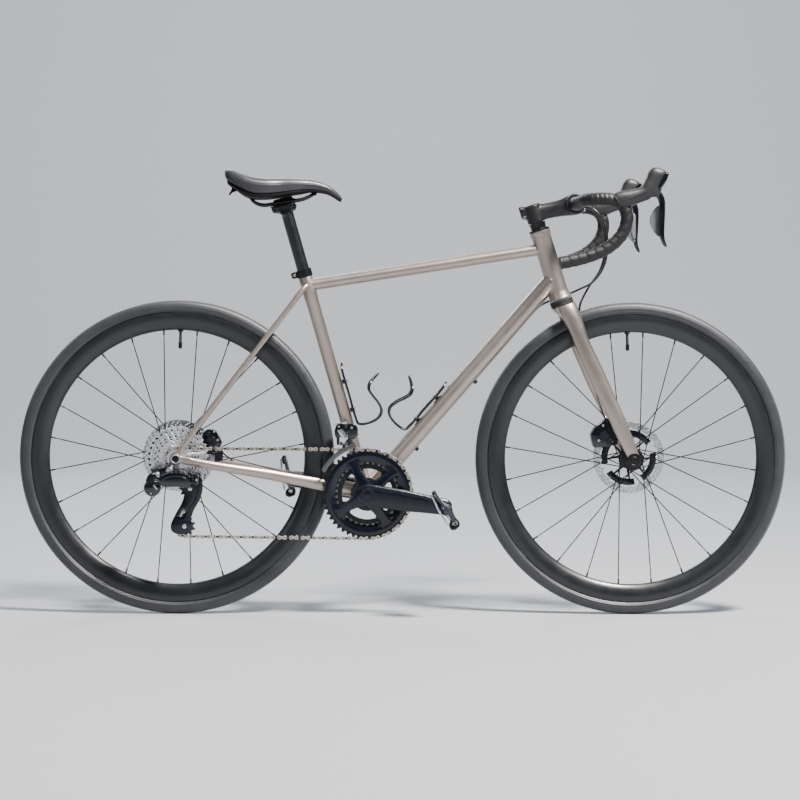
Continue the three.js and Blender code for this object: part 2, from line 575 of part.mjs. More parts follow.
function chainLength(wheels) {
  const arcs = chainArcs(wheels);
  return arcs.reduce((sum, { wheel, arriving, swing }, i) => {
    const next = arcs[(i + 1) % arcs.length];
    const [x0, z0] = edgePoint(wheel, arriving + wheel.side * swing);
    const [x1, z1] = edgePoint(next.wheel, next.arriving);
    return sum + swing * wheel.radius + Math.hypot(x1 - x0, z1 - z0);
  }, 0);
}

const chainWheels = (cageTurn) => {
  const { guide, tension } = pulleyPair(cageTurn);
  return [OUTER_RING, COG, guide, tension];
};

// The cage settles where the chain has a whole, even number of links.
function settleCage() {
  const pair = 2 * PITCH;
  const links = Math.round(chainLength(chainWheels(0)) / pair) * pair;
  let low = degrees(-12);
  let high = degrees(12);
  const lowIsShort = chainLength(chainWheels(low)) < chainLength(chainWheels(high));
  for (let i = 0; i < 40; i += 1) {
    const middle = (low + high) / 2;
    if ((chainLength(chainWheels(middle)) < links) === lowIsShort) low = middle;
    else high = middle;
  }
  return low;
}

const CAGE_TURN = settleCage();
const PULLEYS = pulleyPair(CAGE_TURN);

function chainEdge(offset) {
  const arcs = chainArcs(chainWheels(CAGE_TURN));
  return arcs.flatMap(({ wheel, arriving, swing }) => {
    const steps = Math.max(3, Math.ceil(swing / degrees(wheel === OUTER_RING ? 9 : 30)));
    const rim = { ...wheel, radius: wheel.radius + wheel.side * offset };
    return Array.from({ length: steps + 1 }, (_, k) =>
      edgePoint(rim, arriving + (wheel.side * swing * k) / steps));
  });
}

function chain() {
  const hole = new THREE.Path(chainEdge(-CHAIN_HALF_HEIGHT).map(([x, z]) => new THREE.Vector2(x, z)));
  const band = welded(plate(chainEdge(CHAIN_HALF_HEIGHT), -CHAIN_WIDTH / 2, CHAIN_WIDTH / 2, hole));
  const at = band.getAttribute('position');
  for (let i = 0; i < at.count; i += 1) {
    at.setY(i, at.getY(i) + (at.getX(i) < -300 ? COG.y : OUTER_RING.y));
  }
  return band;
}

const disc = (wheel, inner, half, sides = 40) => placed(turned([[inner, wheel.y - half],
  [wheel.radius - TOOTH_ROOM, wheel.y - half], [wheel.radius - TOOTH_ROOM, wheel.y + half],
  [inner, wheel.y + half]], sides), BB);

const outerRing = () => disc(OUTER_RING, 61, 1.7);
const innerRing = () => disc(INNER_RING, 50, 1.5, 32);

const crankTip = (side) => BB.clone()
  .add(turnedBy(v(-side * CRANK_LENGTH, side * CRANK_FACE_Y, 0), -CRANK_ANGLE));

// The arm lies forward of the axis in its own frame, on the left of the bicycle.
function crankArm() {
  return loft([[-22, 66, 0, 6.5, 18], [0, 66.5, 0, 7.5, 24.5], [60, 67, 0, 7.3, 24.5],
    [110, 67, 0, 7, 21.8], [146, 67, 0, 7, 19.4], [168, 67, 0, 6.5, 18.4], [183, 67, 0, 5.5, 12]]
    .map((station) => ovalAcrossX(station)));
}

const crankBoss = () => turned([[0, 43], [20, 43], [20, 60], [16, 66], [0, 66]], 12);
const pedalPin = () => axleRod(v(CRANK_LENGTH, 0, 0), 66, 152, PEDAL_PIN_RADIUS, 8);

function rightCrank() {
  const pieces = [crankArm(), crankBoss(), pedalPin(),
    axleRod(v(0, 0, 0), -62, 50, SPINDLE_RADIUS, 16)];
  for (const angle of [45, 135, 225, 315]) {
    const arm = loft([ovalAcrossX([10, 54.5, 0, 4.5, 14]), ovalAcrossX([60, 51.5, 0, 2.2, 9])]);
    const tab = block(50, 60, 42.2, 52, -8, 8);
    pieces.push(join(arm, tab).rotateY(degrees(angle)));
  }
  return placed(mirrored(join(...pieces)).rotateY(-CRANK_ANGLE), BB);
}

const leftCrank = () => placed(cut(join(crankArm(), crankBoss(), pedalPin()),
  axleRod(v(0, 0, 0), 30, 90, SPINDLE_RADIUS + GAP, 16)).rotateY(Math.PI - CRANK_ANGLE), BB);

const bottomBracket = () => placed(turned([[15, -42.5], [21.5, -42.5], [21.5, -BB_SHELL_HALF - GAP],
  [19, -BB_SHELL_HALF - GAP], [19, -28], [16.5, -26], [16.5, 26], [19, 28], [19, BB_SHELL_HALF + GAP],
  [21.5, BB_SHELL_HALF + GAP], [21.5, 42.5], [15, 42.5]], 16), BB);

// Side outline of a pedal with its nose toward +X, and its own axis at the origin.
const PEDAL = [[46, -3], [50, 1], [47, 5], [30, 7], [8, 9], [-12, 9], [-26, 15], [-38, 16], [-45, 8],
  [-43, -6], [-30, -10], [-8, -10], [14, -9], [32, -7]];
const PEDAL_SIDES = [98, 158];                  // across, of the body

function pedal(side, noseAngle) {
  const body = plate(PEDAL, ...PEDAL_SIDES);
  const scoop = block(10, 60, 90, 106, -30, 30);
  const outerScoop = block(10, 60, 146, 170, -30, 30);
  const whole = cut(body, scoop, outerScoop, axleRod(v(0, 0, 0), 90, 153, PEDAL_PIN_RADIUS + 0.5, 8));
  const sided = side === RIGHT ? mirrored(whole) : whole;
  const tip = crankTip(side);
  return sided.rotateY(-noseAngle).translate(tip.x, 0, tip.z);
}

// ---------------------------------------------------------------- derailleurs

function frontDerailleur() {
  const band = rod(seatAt(388), seatAt(412), 17.5);
  const arm = block(-150, -122, -40, -8, 391, 409);
  const body = plate([[-157, 386], [-156, 418], [-146, 424], [-112, 422], [-103, 412], [-104, 392],
    [-114, 384]], -52, -29);
  const hinge = rod(v(-148, -42, 377), v(-122, -42, 377), 2.5, 2.5, 8);
  const lugs = [block(-150, -145, -46, -38, 374, 390), block(-126, -121, -46, -38, 374, 390)];
  return cut(join(band, arm, body, hinge, ...lugs), rod(seatAt(370), seatAt(430), SEAT_TUBE_RADIUS + GAP));
}

// Points on a band round the chainring's centre, between two angles.
function ringBand(inner, outer, from, to, steps) {
  const at = (radius, angle) => [BB.x + radius * Math.cos(angle), BB.z + radius * Math.sin(angle)];
  const angles = Array.from({ length: steps + 1 }, (_, i) => degrees(from + ((to - from) * i) / steps));
  const outside = angles.map((angle) => at(outer, angle));
  return [...outside, ...angles.reverse().map((angle) => at(inner, angle))];
}

function frontDerailleurCage() {
  const outer = plate(ringBand(103, 117, 104, 153, 6), -57, -55.5);
  const inner = plate(ringBand(103, 111, 104, 153, 6), -43, -41.5);
  const bridge = plate(ringBand(110.5, 117, 104, 107, 1), -57, -41.5);
  const tail = plate(ringBand(105, 110, 150, 153, 1), -57, -41.5);
  const arm = block(-138, -131, -43, -41.5, 360, 377);
  const eye = rod(v(-143, -42, 377), v(-128, -42, 377), 4.2, 4.2, 8);
  const hingeHole = rod(v(-160, -42, 377), v(-110, -42, 377), 2.8, 2.8, 8);
  return cut(join(outer, inner, bridge, tail, arm, eye), hingeHole);
}

const linkAxis = v(0, Math.sin(LINK_SLANT), Math.cos(LINK_SLANT));
const LINK = v(56, 0, 2);
const OUTER_LINK_ROOT = v(-524, -107, 298);
const INNER_LINK_ROOT = v(-528, -94, 298);
const LINK_HALF_HEIGHT = 6;
const LINK_PIN_RADIUS = 2;

// A bar on a link's pin line, between two distances from the pin's middle.
const onPin = (at, from, to, radius) => rod(at.clone().addScaledVector(linkAxis, from),
  at.clone().addScaledVector(linkAxis, to), radius, radius, 6);

// A flat link with an eye at each end, seen along its slanted pins.
function link(root) {
  const tip = root.clone().add(LINK);
  const bar = loft([root, tip].map((at) => circle(1, 8).map(([c, s]) =>
    at.clone().add(v(0, 4 * c, 0)).addScaledVector(linkAxis, 5.5 * s))));
  const eyes = [root, tip].map((at) => onPin(at, -LINK_HALF_HEIGHT, LINK_HALF_HEIGHT, 5));
  return cut(join(bar, ...eyes), ...[root, tip].map((at) => onPin(at, -20, 20, LINK_PIN_RADIUS + GAP)));
}

// The pin of one end of a link, its two lugs, and the bars that tie them to a wall at wallX.
function linkFork(at, wallX) {
  const near = LINK_HALF_HEIGHT + GAP;
  const far = near + 2.6;
  const pieces = [onPin(at, -far, far, LINK_PIN_RADIUS)];
  for (const sign of [-1, 1]) {
    const middle = at.clone().addScaledVector(linkAxis, (sign * (near + far)) / 2);
    pieces.push(onPin(at, sign * near, sign * far, 5));
    pieces.push(rod(middle, v(wallX, middle.y, middle.z), 1.3, 1.3, 4));
  }
  return join(...pieces);
}

function derailleurKnuckle() {
  const mount = plate([[-518, 330], [-500, 328], [-498, 314], [-506, 309], [-520, 308], [-545, 306],
    [-546, 316], [-532, 324]], -98, -DROPOUT_OUTER_Y - GAP);
  const motor = axleRod(v(-548.4, 0, 282), -112, -84, 17.6, 14);
  const neck = plate([[-556, 312], [-540, 314], [-538, 288], [-556, 288]], -112, -88);
  return join(mount, neck, motor, linkFork(OUTER_LINK_ROOT, -541), linkFork(INNER_LINK_ROOT, -541));
}

const CAGE_BOSS_Y = -77.3;
const CAGE_PLATE_Y = -73.9;

function cageKnuckle() {
  const housing = axleRod(CAGE_PIVOT, -86, CAGE_BOSS_Y - GAP, 12, 12);
  const wall = block(-457, -449, -112, CAGE_BOSS_Y - GAP, 289, 313);
  const [outerTip, innerTip] = [OUTER_LINK_ROOT, INNER_LINK_ROOT].map((root) => root.clone().add(LINK));
  const body = cut(join(housing, wall), axleRod(CAGE_PIVOT, -83, -70, 4 + GAP, 10),
    block(-500, -457.5, -104, -85.5, 290, 312));
  return join(body, linkFork(outerTip, -455), linkFork(innerTip, -455));
}

// Side outlines of the cage plates, before the cage settles.
const CAGE_OUTER = [[-480, 298], [-473, 311], [-460, 314], [-446, 306], [-441, 290], [-443, 264],
  [-464, 230], [-471, 208], [-476, 188], [-490, 184], [-504, 193], [-504, 214], [-490, 240],
  [-480, 262]];
const CAGE_INNER = [[-479, 280], [-470, 291], [-459, 284], [-462, 260], [-474, 199], [-486, 188],
  [-497, 198], [-488, 240], [-480, 268]];
const CAGE_PIN_RADIUS = 2.8;

function derailleurCage() {
  const fromPivot = CAGE_PIVOT.clone().negate();
  const settled = (geometry) => placed(placed(geometry, fromPivot).rotateY(CAGE_TURN), CAGE_PIVOT);
  const pins = [PULLEYS.guide, PULLEYS.tension]
    .map(({ centre }) => axleRod(centre, -75, -57, CAGE_PIN_RADIUS, 8));
  return join(settled(plate(CAGE_OUTER, -75.6, CAGE_PLATE_Y)), settled(plate(CAGE_INNER, -58.1, -56.4)),
    axleRod(CAGE_PIVOT, CAGE_BOSS_Y, -74, 9, 12), axleRod(CAGE_PIVOT, -82, -74, 4, 10), ...pins);
}

const pulley = ({ centre }) => placed(turned([[CAGE_PIN_RADIUS + GAP, COG.y - 3.1], [8, COG.y - 3.1],
  [COG.radius - TOOTH_ROOM, COG.y - 1.2], [COG.radius - TOOTH_ROOM, COG.y + 1.2], [8, COG.y + 3.1],
  [CAGE_PIN_RADIUS + GAP, COG.y + 3.1]], 16), centre);

// ---------------------------------------------------------------- the bicycle

const TITANIUM = [0x968a80, 0.34, 0.9];
const BLACK_METAL = [0x17181b, 0.35, 0.6];
const GLOSS_BLACK = [0x10131a, 0.15, 0.5];
const CARBON = [0x1c1d20, 0.4, 0.1];
const RUBBER = [0x1a1a1b, 0.75, 0];
const STEEL = [0xb9bbbd, 0.3, 1];
const LEATHER = [0x232325, 0.55, 0];

const bicycle = new THREE.Group();

function add(name, geometry, [color, roughness, metalness]) {
  const material = new THREE.MeshStandardMaterial({ color, roughness, metalness });
  const mesh = new THREE.Mesh(welded(geometry), material);
  mesh.name = name;
  bicycle.add(mesh);
}

add('head_tube', headTube(), TITANIUM);
add('top_tube', topTube(), TITANIUM);
add('down_tube', downTube(), TITANIUM);
add('seat_tube', seatTube(), TITANIUM);
add('chain_stay_right', mirrored(chainStay(DROPOUT_RIGHT)), TITANIUM);
add('chain_stay_left', chainStay(DROPOUT_LEFT), TITANIUM);
add('seat_stay_right', mirrored(seatStay()), TITANIUM);
add('seat_stay_left', seatStay(), TITANIUM);
add('seat_collar', seatCollar(), BLACK_METAL);
add('seat_post', seatPost(), CARBON);
add('saddle_clamp', saddleClamp(), BLACK_METAL);
add('saddle_rails', saddleRails(), BLACK_METAL);
add('saddle', saddle(), LEATHER);
add('bottle_cage_rear', bottleCage(SEAT_CAGE_FOOT, seatTubeAlong, seatTubeOut), STEEL);
add('bottle_cage_front', bottleCage(DOWN_CAGE_FOOT, downTubeAlong, downTubeOut), STEEL);

add('headset_lower_cup', lowerCup(), BLACK_METAL);
add('headset_upper_cup', upperCup(), BLACK_METAL);
add('fork', fork(), TITANIUM);
add('stem', stem(), BLACK_METAL);
add('handlebar', handlebar(), BLACK_METAL);
add('bar_tape_right', mirrored(barTape()), RUBBER);
add('bar_tape_left', barTape(), RUBBER);
add('hood_right', mirrored(hood()), RUBBER);
add('hood_left', hood(), RUBBER);
add('brake_lever_right', mirrored(brakeLever()), GLOSS_BLACK);
add('brake_lever_left', brakeLever(), GLOSS_BLACK);
add('shift_paddle_right', mirrored(shiftPaddle()), BLACK_METAL);
add('shift_paddle_left', shiftPaddle(), BLACK_METAL);
add('front_brake_hose', frontHose(), RUBBER);
add('rear_brake_hose', rearHose(), RUBBER);
add('front_brake_caliper', frontCaliper(), BLACK_METAL);
add('rear_brake_caliper', rearCaliper(), BLACK_METAL);

add('front_tyre', tyre(FRONT_AXLE), RUBBER);
add('front_rim', rim(FRONT_AXLE), CARBON);
add('front_hub', frontHub(), BLACK_METAL);
add('front_rotor', rotor(FRONT_AXLE, FRONT_ROTOR_Y), STEEL);
add('front_thru_axle', thruAxle(FRONT_AXLE, 58.5), BLACK_METAL);
add('rear_tyre', tyre(REAR_AXLE), RUBBER);
add('rear_rim', rim(REAR_AXLE), CARBON);
add('rear_hub', rearHub(), BLACK_METAL);
add('rear_rotor', rotor(REAR_AXLE, REAR_ROTOR_Y), STEEL);
add('rear_thru_axle', thruAxle(REAR_AXLE, 77), BLACK_METAL);

add('bottom_bracket', bottomBracket(), BLACK_METAL);
add('crank_arm_right', rightCrank(), GLOSS_BLACK);
add('crank_arm_left', leftCrank(), GLOSS_BLACK);
add('chainring_outer', outerRing(), BLACK_METAL);
add('chainring_inner', innerRing(), STEEL);
add('pedal_right', pedal(RIGHT, degrees(125)), BLACK_METAL);
add('pedal_left', pedal(LEFT, degrees(102.5)), BLACK_METAL);
add('cassette', cassette(), STEEL);
add('chain', chain(), STEEL);
add('front_derailleur', frontDerailleur(), GLOSS_BLACK);
add('front_derailleur_cage', frontDerailleurCage(), STEEL);

add('rear_derailleur_knuckle', derailleurKnuckle(), GLOSS_BLACK);
add('rear_derailleur_outer_link', link(OUTER_LINK_ROOT), GLOSS_BLACK);
add('rear_derailleur_inner_link', link(INNER_LINK_ROOT), GLOSS_BLACK);
add('rear_derailleur_cage_knuckle', cageKnuckle(), GLOSS_BLACK);
add('rear_derailleur_cage', derailleurCage(), GLOSS_BLACK);
add('guide_pulley', pulley(PULLEYS.guide), BLACK_METAL);
add('tension_pulley', pulley(PULLEYS.tension), BLACK_METAL);

export default bicycle;
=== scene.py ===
"""Road bicycle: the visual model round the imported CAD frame.

Shapes are written in millimetres and built in metres. X is forward, Y is left and Z is up.
"""

import json
import math

import bmesh
import bpy
import numpy as np
from mathutils import Matrix, Vector


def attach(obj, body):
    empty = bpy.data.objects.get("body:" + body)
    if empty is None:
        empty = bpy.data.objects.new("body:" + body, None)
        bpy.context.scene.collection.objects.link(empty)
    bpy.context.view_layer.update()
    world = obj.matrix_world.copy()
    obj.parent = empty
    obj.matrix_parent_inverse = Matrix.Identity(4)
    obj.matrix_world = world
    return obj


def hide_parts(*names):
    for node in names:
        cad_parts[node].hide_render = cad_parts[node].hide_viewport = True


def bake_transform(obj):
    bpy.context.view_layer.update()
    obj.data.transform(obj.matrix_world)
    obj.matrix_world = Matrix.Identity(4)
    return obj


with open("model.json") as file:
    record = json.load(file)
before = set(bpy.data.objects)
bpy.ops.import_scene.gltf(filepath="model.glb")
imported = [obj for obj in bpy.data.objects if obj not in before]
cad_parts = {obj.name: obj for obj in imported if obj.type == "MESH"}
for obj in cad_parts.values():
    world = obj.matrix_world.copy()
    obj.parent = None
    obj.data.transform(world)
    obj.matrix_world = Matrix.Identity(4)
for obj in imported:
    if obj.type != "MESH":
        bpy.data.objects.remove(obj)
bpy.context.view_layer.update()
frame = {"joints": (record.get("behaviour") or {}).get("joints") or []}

MM = 0.001
TURN = 2 * math.pi
JOINT = {j["name"]: np.array(j["pos_m"]) / MM for j in frame["joints"]}
FRONT_AXLE = JOINT["front_wheel_spin"]
REAR_AXLE = JOINT["rear_wheel_spin"]
BB = JOINT["crank_turn"]
WHEEL_RADIUS = FRONT_AXLE[2]
ACROSS = np.array([0.0, 1.0, 0.0])
STEER_AXIS = np.array(next(j["axis"] for j in frame["joints"] if j["name"] == "steering_turn"))
STEER_POINT = JOINT["steering_turn"]


def steer_at(z):
    """The point of the steering axis at height z."""
    return STEER_POINT + STEER_AXIS * (z - STEER_POINT[2]) / STEER_AXIS[2]


# ------------------------------------------------------------------ mesh helpers


class Shell:
    """Vertices in millimetres and faces, gathered from several shapes into one mesh."""

    def __init__(self, *shapes):
        self.verts, self.faces, self.count = [], [], 0
        self.add(*shapes)

    def add(self, *shapes):
        for verts, faces in shapes:
            verts = np.asarray(verts, float).reshape(-1, 3)
            self.verts.append(verts)
            self.faces += [tuple(i + self.count for i in f) for f in faces]
            self.count += len(verts)


def skin(rings, caps=True, closed=False):
    """Faces joining rings of equally many points; each ring is closed on itself."""
    n, m = len(rings[0]), len(rings)
    k = np.arange(n)
    after = (k + 1) % n
    faces = []
    for i in range(m if closed else m - 1):
        a, b = i * n, ((i + 1) % m) * n
        faces += zip((a + k).tolist(), (a + after).tolist(), (b + after).tolist(), (b + k).tolist())
    if caps and not closed:
        faces.append(tuple(range(n - 1, -1, -1)))
        faces.append(tuple(range((m - 1) * n, m * n)))
    return np.concatenate(rings), faces


def unit(vector):
    """The vector at a length of one."""
    vector = np.asarray(vector, float)
    return vector / np.linalg.norm(vector)


def basis(axis, towards=None):
    """Two directions square to an axis; the first leans towards a given one."""
    axis = unit(axis)
    lean = np.asarray(towards if towards is not None else (0, 0, 1), float)
    if np.linalg.norm(np.cross(axis, lean)) < 1e-3:
        lean = np.array([1.0, 0, 0])
    first = unit(lean - axis * (lean @ axis))
    return first, np.cross(axis, first)


def turned(profile, at=(0, 0, 0), axis=ACROSS, sides=48, closed=False):
    """A turned shape from (radius, distance along the axis) corners."""
    a, b = basis(axis)
    angle = np.arange(sides) * TURN / sides
    round_ = np.outer(np.cos(angle), a) + np.outer(np.sin(angle), b)
    rings = [np.asarray(at) + round_ * max(r, 1e-4) + unit(axis) * t for r, t in profile]
    return skin(rings, closed=closed)


def ring_profile(inner, outer, y0, y1, soft=0.4):
    """The closed section of a flat ring with its edges eased."""
    return [(inner + soft, y0), (outer - soft, y0), (outer, y0 + soft), (outer, y1 - soft),
            (outer - soft, y1), (inner + soft, y1), (inner, y1 - soft), (inner, y0 + soft)]


def spline(points, per=8, closed=False):
    """Points on a smooth curve through the given ones, in any number of dimensions."""
    p = np.asarray(points, float)
    if closed:
        p = np.vstack([p[-1], p, p[0], p[1]])
    else:
        p = np.vstack([2 * p[0] - p[1], p, 2 * p[-1] - p[-2]])
    knots = np.concatenate([[0], np.cumsum(np.linalg.norm(np.diff(p[:, :3], axis=0),
                                                          axis=1) ** 0.5 + 1e-9)])
    made = []
    for i in range(1, len(p) - 2):
        t0, t1, t2, t3 = knots[i - 1:i + 3]
        t = np.linspace(t1, t2, per, endpoint=False)[:, None]
        a1 = (t1 - t) / (t1 - t0) * p[i - 1] + (t - t0) / (t1 - t0) * p[i]
        a2 = (t2 - t) / (t2 - t1) * p[i] + (t - t1) / (t2 - t1) * p[i + 1]
        a3 = (t3 - t) / (t3 - t2) * p[i + 1] + (t - t2) / (t3 - t2) * p[i + 2]
        b1 = (t2 - t) / (t2 - t0) * a1 + (t - t0) / (t2 - t0) * a2
        b2 = (t3 - t) / (t3 - t1) * a2 + (t - t1) / (t3 - t1) * a3
        made.append((t2 - t) / (t2 - t1) * b1 + (t - t1) / (t2 - t1) * b2)
    made = np.concatenate(made)
    return made if closed else np.vstack([made, p[-2]])


def sweep(path, radius, sides=16, up=None, caps=True, closed=False):
    """A tube along a path. radius is one number, one per point, or a pair (across, along up) per point."""
    path = np.asarray(path, float)
    if closed:
        tangent = np.roll(path, -1, 0) - np.roll(path, 1, 0)
    else:
        tangent = np.gradient(path, axis=0)
    tangent /= np.linalg.norm(tangent, axis=1)[:, None]
    radius = np.asarray(radius, float)
    if radius.ndim == 1 and len(radius) == 2 and len(path) != 2:
        radius = np.tile(radius, (len(path), 1))
    radius = np.broadcast_to(radius if radius.ndim == 2 else radius.reshape(-1, 1), (len(path), 2))
    angle = np.arange(sides) * TURN / sides
    first, _ = basis(tangent[0], up)
    rings = []
    for point, along, (across, rise) in zip(path, tangent, radius):
        lean = np.asarray(up, float) if up is not None else first
        first = unit(lean - along * (lean @ along))
        side = np.cross(along, first)
        rings.append(point + np.outer(np.cos(angle) * across, side) + np.outer(np.sin(angle) * rise, first))
    return skin(rings, caps, closed)


def rod(a, b, radius, radius_b=None, sides=20, soft=0.0):
    """A round bar between two points, with eased ends."""
    a, b = np.asarray(a, float), np.asarray(b, float)
    length = np.linalg.norm(b - a)
    rb = radius if radius_b is None else radius_b
    profile = [(radius, 0), (rb, length)]
    if soft:
        profile = [(radius - soft, 0), (radius, soft), (rb, length - soft), (rb - soft, length)]
    return turned(profile, a, b - a, sides)


def oval(centre, across, rise, u, w, sides=32, power=2.0):
    """A ring of points: an ellipse, squarer where power is above 2."""
    angle = np.arange(sides) * TURN / sides
    c, s = np.cos(angle), np.sin(angle)
    c = np.sign(c) * np.abs(c) ** (2 / power)
    s = np.sign(s) * np.abs(s) ** (2 / power)
    return np.asarray(centre, float) + np.outer(c * across, u) + np.outer(s * rise, w)


def stations(rows, per=6):
    """Smoothly refined rows of numbers."""
    return spline(np.asarray(rows, float), per)


def stamped(outlines, y0, y1, bevel=0.3, steps=1):
    """A plate in the plane of X and Z between two values of Y; later outlines inside the first are holes."""
    curve = bpy.data.curves.new("outline", "CURVE")
    curve.dimensions, curve.fill_mode = "2D", "BOTH"
    half = abs(y1 - y0) / 2
    bevel = min(bevel, half * 0.9)
    curve.extrude, curve.bevel_depth, curve.offset = (half - bevel) * MM, bevel * MM, -bevel * MM
    curve.bevel_resolution = steps - 1
    for outline in outlines:
        run = curve.splines.new("POLY")
        run.points.add(len(outline) - 1)
        for point, (x, z) in zip(run.points, outline):
            point.co = (x * MM, z * MM, 0, 1)
        run.use_cyclic_u = True
    holder = shown("outline", curve)
    graph = bpy.context.evaluated_depsgraph_get()
    mesh = bpy.data.meshes.new_from_object(holder.evaluated_get(graph))
    flat = np.array([v.co for v in mesh.vertices]) / MM
    faces = [tuple(f.vertices) for f in mesh.polygons]
    bpy.data.objects.remove(holder)
    bpy.data.curves.remove(curve)
    bpy.data.meshes.remove(mesh)
    return np.column_stack([flat[:, 0], (y0 + y1) / 2 - flat[:, 2], flat[:, 1]]), faces


def circle2(radius, sides=32, x=0.0, z=0.0):
    """A circle's corners in a plane."""
    angle = np.arange(sides) * TURN / sides
    return np.column_stack([x + radius * np.cos(angle), z + radius * np.sin(angle)])


def arc2(radius, start, end, steps):
    """Points on an arc between two angles in degrees."""
    angle = np.radians(np.linspace(start, end, steps))
    return np.column_stack([radius * np.cos(angle), radius * np.sin(angle)])


def slot2(inner, outer, start, end, steps=8):
    """A window between two radii and two angles in degrees, its corners rounded."""
    band = np.vstack([arc2(outer, start, end, steps), arc2(inner, end, start, steps)])
    return rounded(band, min(1.5, (outer - inner) / 4))


def rounded(outline, radius, steps=3):
    """A closed outline with its corners cut by short arcs."""
    p = np.asarray(outline, float)
    made = []
    for i in range(len(p)):
        before, here, after = p[i - 1], p[i], p[(i + 1) % len(p)]
        a, b = before - here, after - here
        la, lb = np.linalg.norm(a), np.linalg.norm(b)
        r = min(radius, la * 0.45, lb * 0.45)
        start, end = here + a / la * r, here + b / lb * r
        for t in np.linspace(0, 1, steps + 1):
            made.append((1 - t) ** 2 * start + 2 * t * (1 - t) * here + t * t * end)
    return np.array(made)


def moved(shape, offset):
    """The shape pushed along by an offset."""
    return np.asarray(shape[0]) + np.asarray(offset, float), shape[1]


def spun(shape, degrees, centre=(0, 0, 0)):
    """The shape turned about a line that runs across the bicycle."""
    turn = np.array(Matrix.Rotation(math.radians(degrees), 3, Vector(ACROSS)))
    return (np.asarray(shape[0]) - centre) @ turn.T + centre, shape[1]


def framed(shape, centre, x, y, z):
    """A shape made about the origin, with its own axes laid along x, y and z at a centre."""
    return np.asarray(shape[0]) @ np.array([x, y, z], float) + np.asarray(centre, float), shape[1]


def flipped(shape):
    """The shape on the other side of the bicycle."""
    return np.asarray(shape[0]) * (1, -1, 1), [tuple(reversed(f)) for f in shape[1]]


BOLT_SIDES, SOCKET_SHARE = 20, 0.55


def bolt(at, axis, radius, height):
    """A socket-head bolt: a rounded head with a six-sided socket in its face."""
    axis, sides = unit(axis), BOLT_SIDES
    head = turned([(radius, 0), (radius, height * 0.75), (radius * 0.86, height)], at, axis, sides)
    verts, faces = list(map(tuple, head[0])), list(head[1][:-1])
    rings = [len(verts) - sides]
    a, b = basis(axis)
    for depth, size in ((height, SOCKET_SHARE), (height * 0.35, SOCKET_SHARE * 0.96)):
        rings.append(len(verts))
        for k in range(sides):
            angle = k * TURN / sides
            reach = radius * size * 0.87 / max(0.87, math.cos((angle + TURN / 12) % (TURN / 6) - TURN / 12))
            spoke = a * math.cos(angle) + b * math.sin(angle)
            verts.append(tuple(np.asarray(at) + axis * depth + reach * spoke))
    for low, high in zip(rings, rings[1:]):
        for k in range(sides):
            after = (k + 1) % sides
            faces.append((low + k, low + after, high + after, high + k))
    faces.append(tuple(range(rings[-1], rings[-1] + sides)))
    return np.array(verts), faces


def creased(mesh, sharp):
    """Smooth shading, but for the edges that are sharper than an angle in degrees."""
    mesh.shade_smooth()
    mesh.set_sharp_from_angle(angle=math.radians(sharp))


def shown(name, data):
    """A new object in the scene."""
    obj = bpy.data.objects.new(name, data)
    bpy.context.scene.collection.objects.link(obj)
    return obj


def piece(name, shell, material, body, stands_for=None, sharp=38):
    """Makes an object of one material and lets it ride on a CAD body; it may stand for one CAD node."""
    mesh = bpy.data.meshes.new(name)
    mesh.from_pydata((np.concatenate(shell.verts) * MM).tolist(), [], shell.faces)
    mesh.materials.append(material)
    bm = bmesh.new()
    bm.from_mesh(mesh)
    bmesh.ops.remove_doubles(bm, verts=bm.verts, dist=2e-6)
    bmesh.ops.recalc_face_normals(bm, faces=bm.faces)
    bm.to_mesh(mesh)
    bm.free()
    creased(mesh, sharp)
    obj = shown(name, mesh)
    if body:
        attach(obj, body)
    if stands_for:
        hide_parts(stands_for)
    return obj


# ------------------------------------------------------------------ materials


def linear(red, green, blue):
    """A colour given as screen values from 0 to 255."""
    return tuple(((c / 255 + 0.055) / 1.055) ** 2.4 if c > 10 else c / 255 / 12.92
                 for c in (red, green, blue)) + (1.0,)


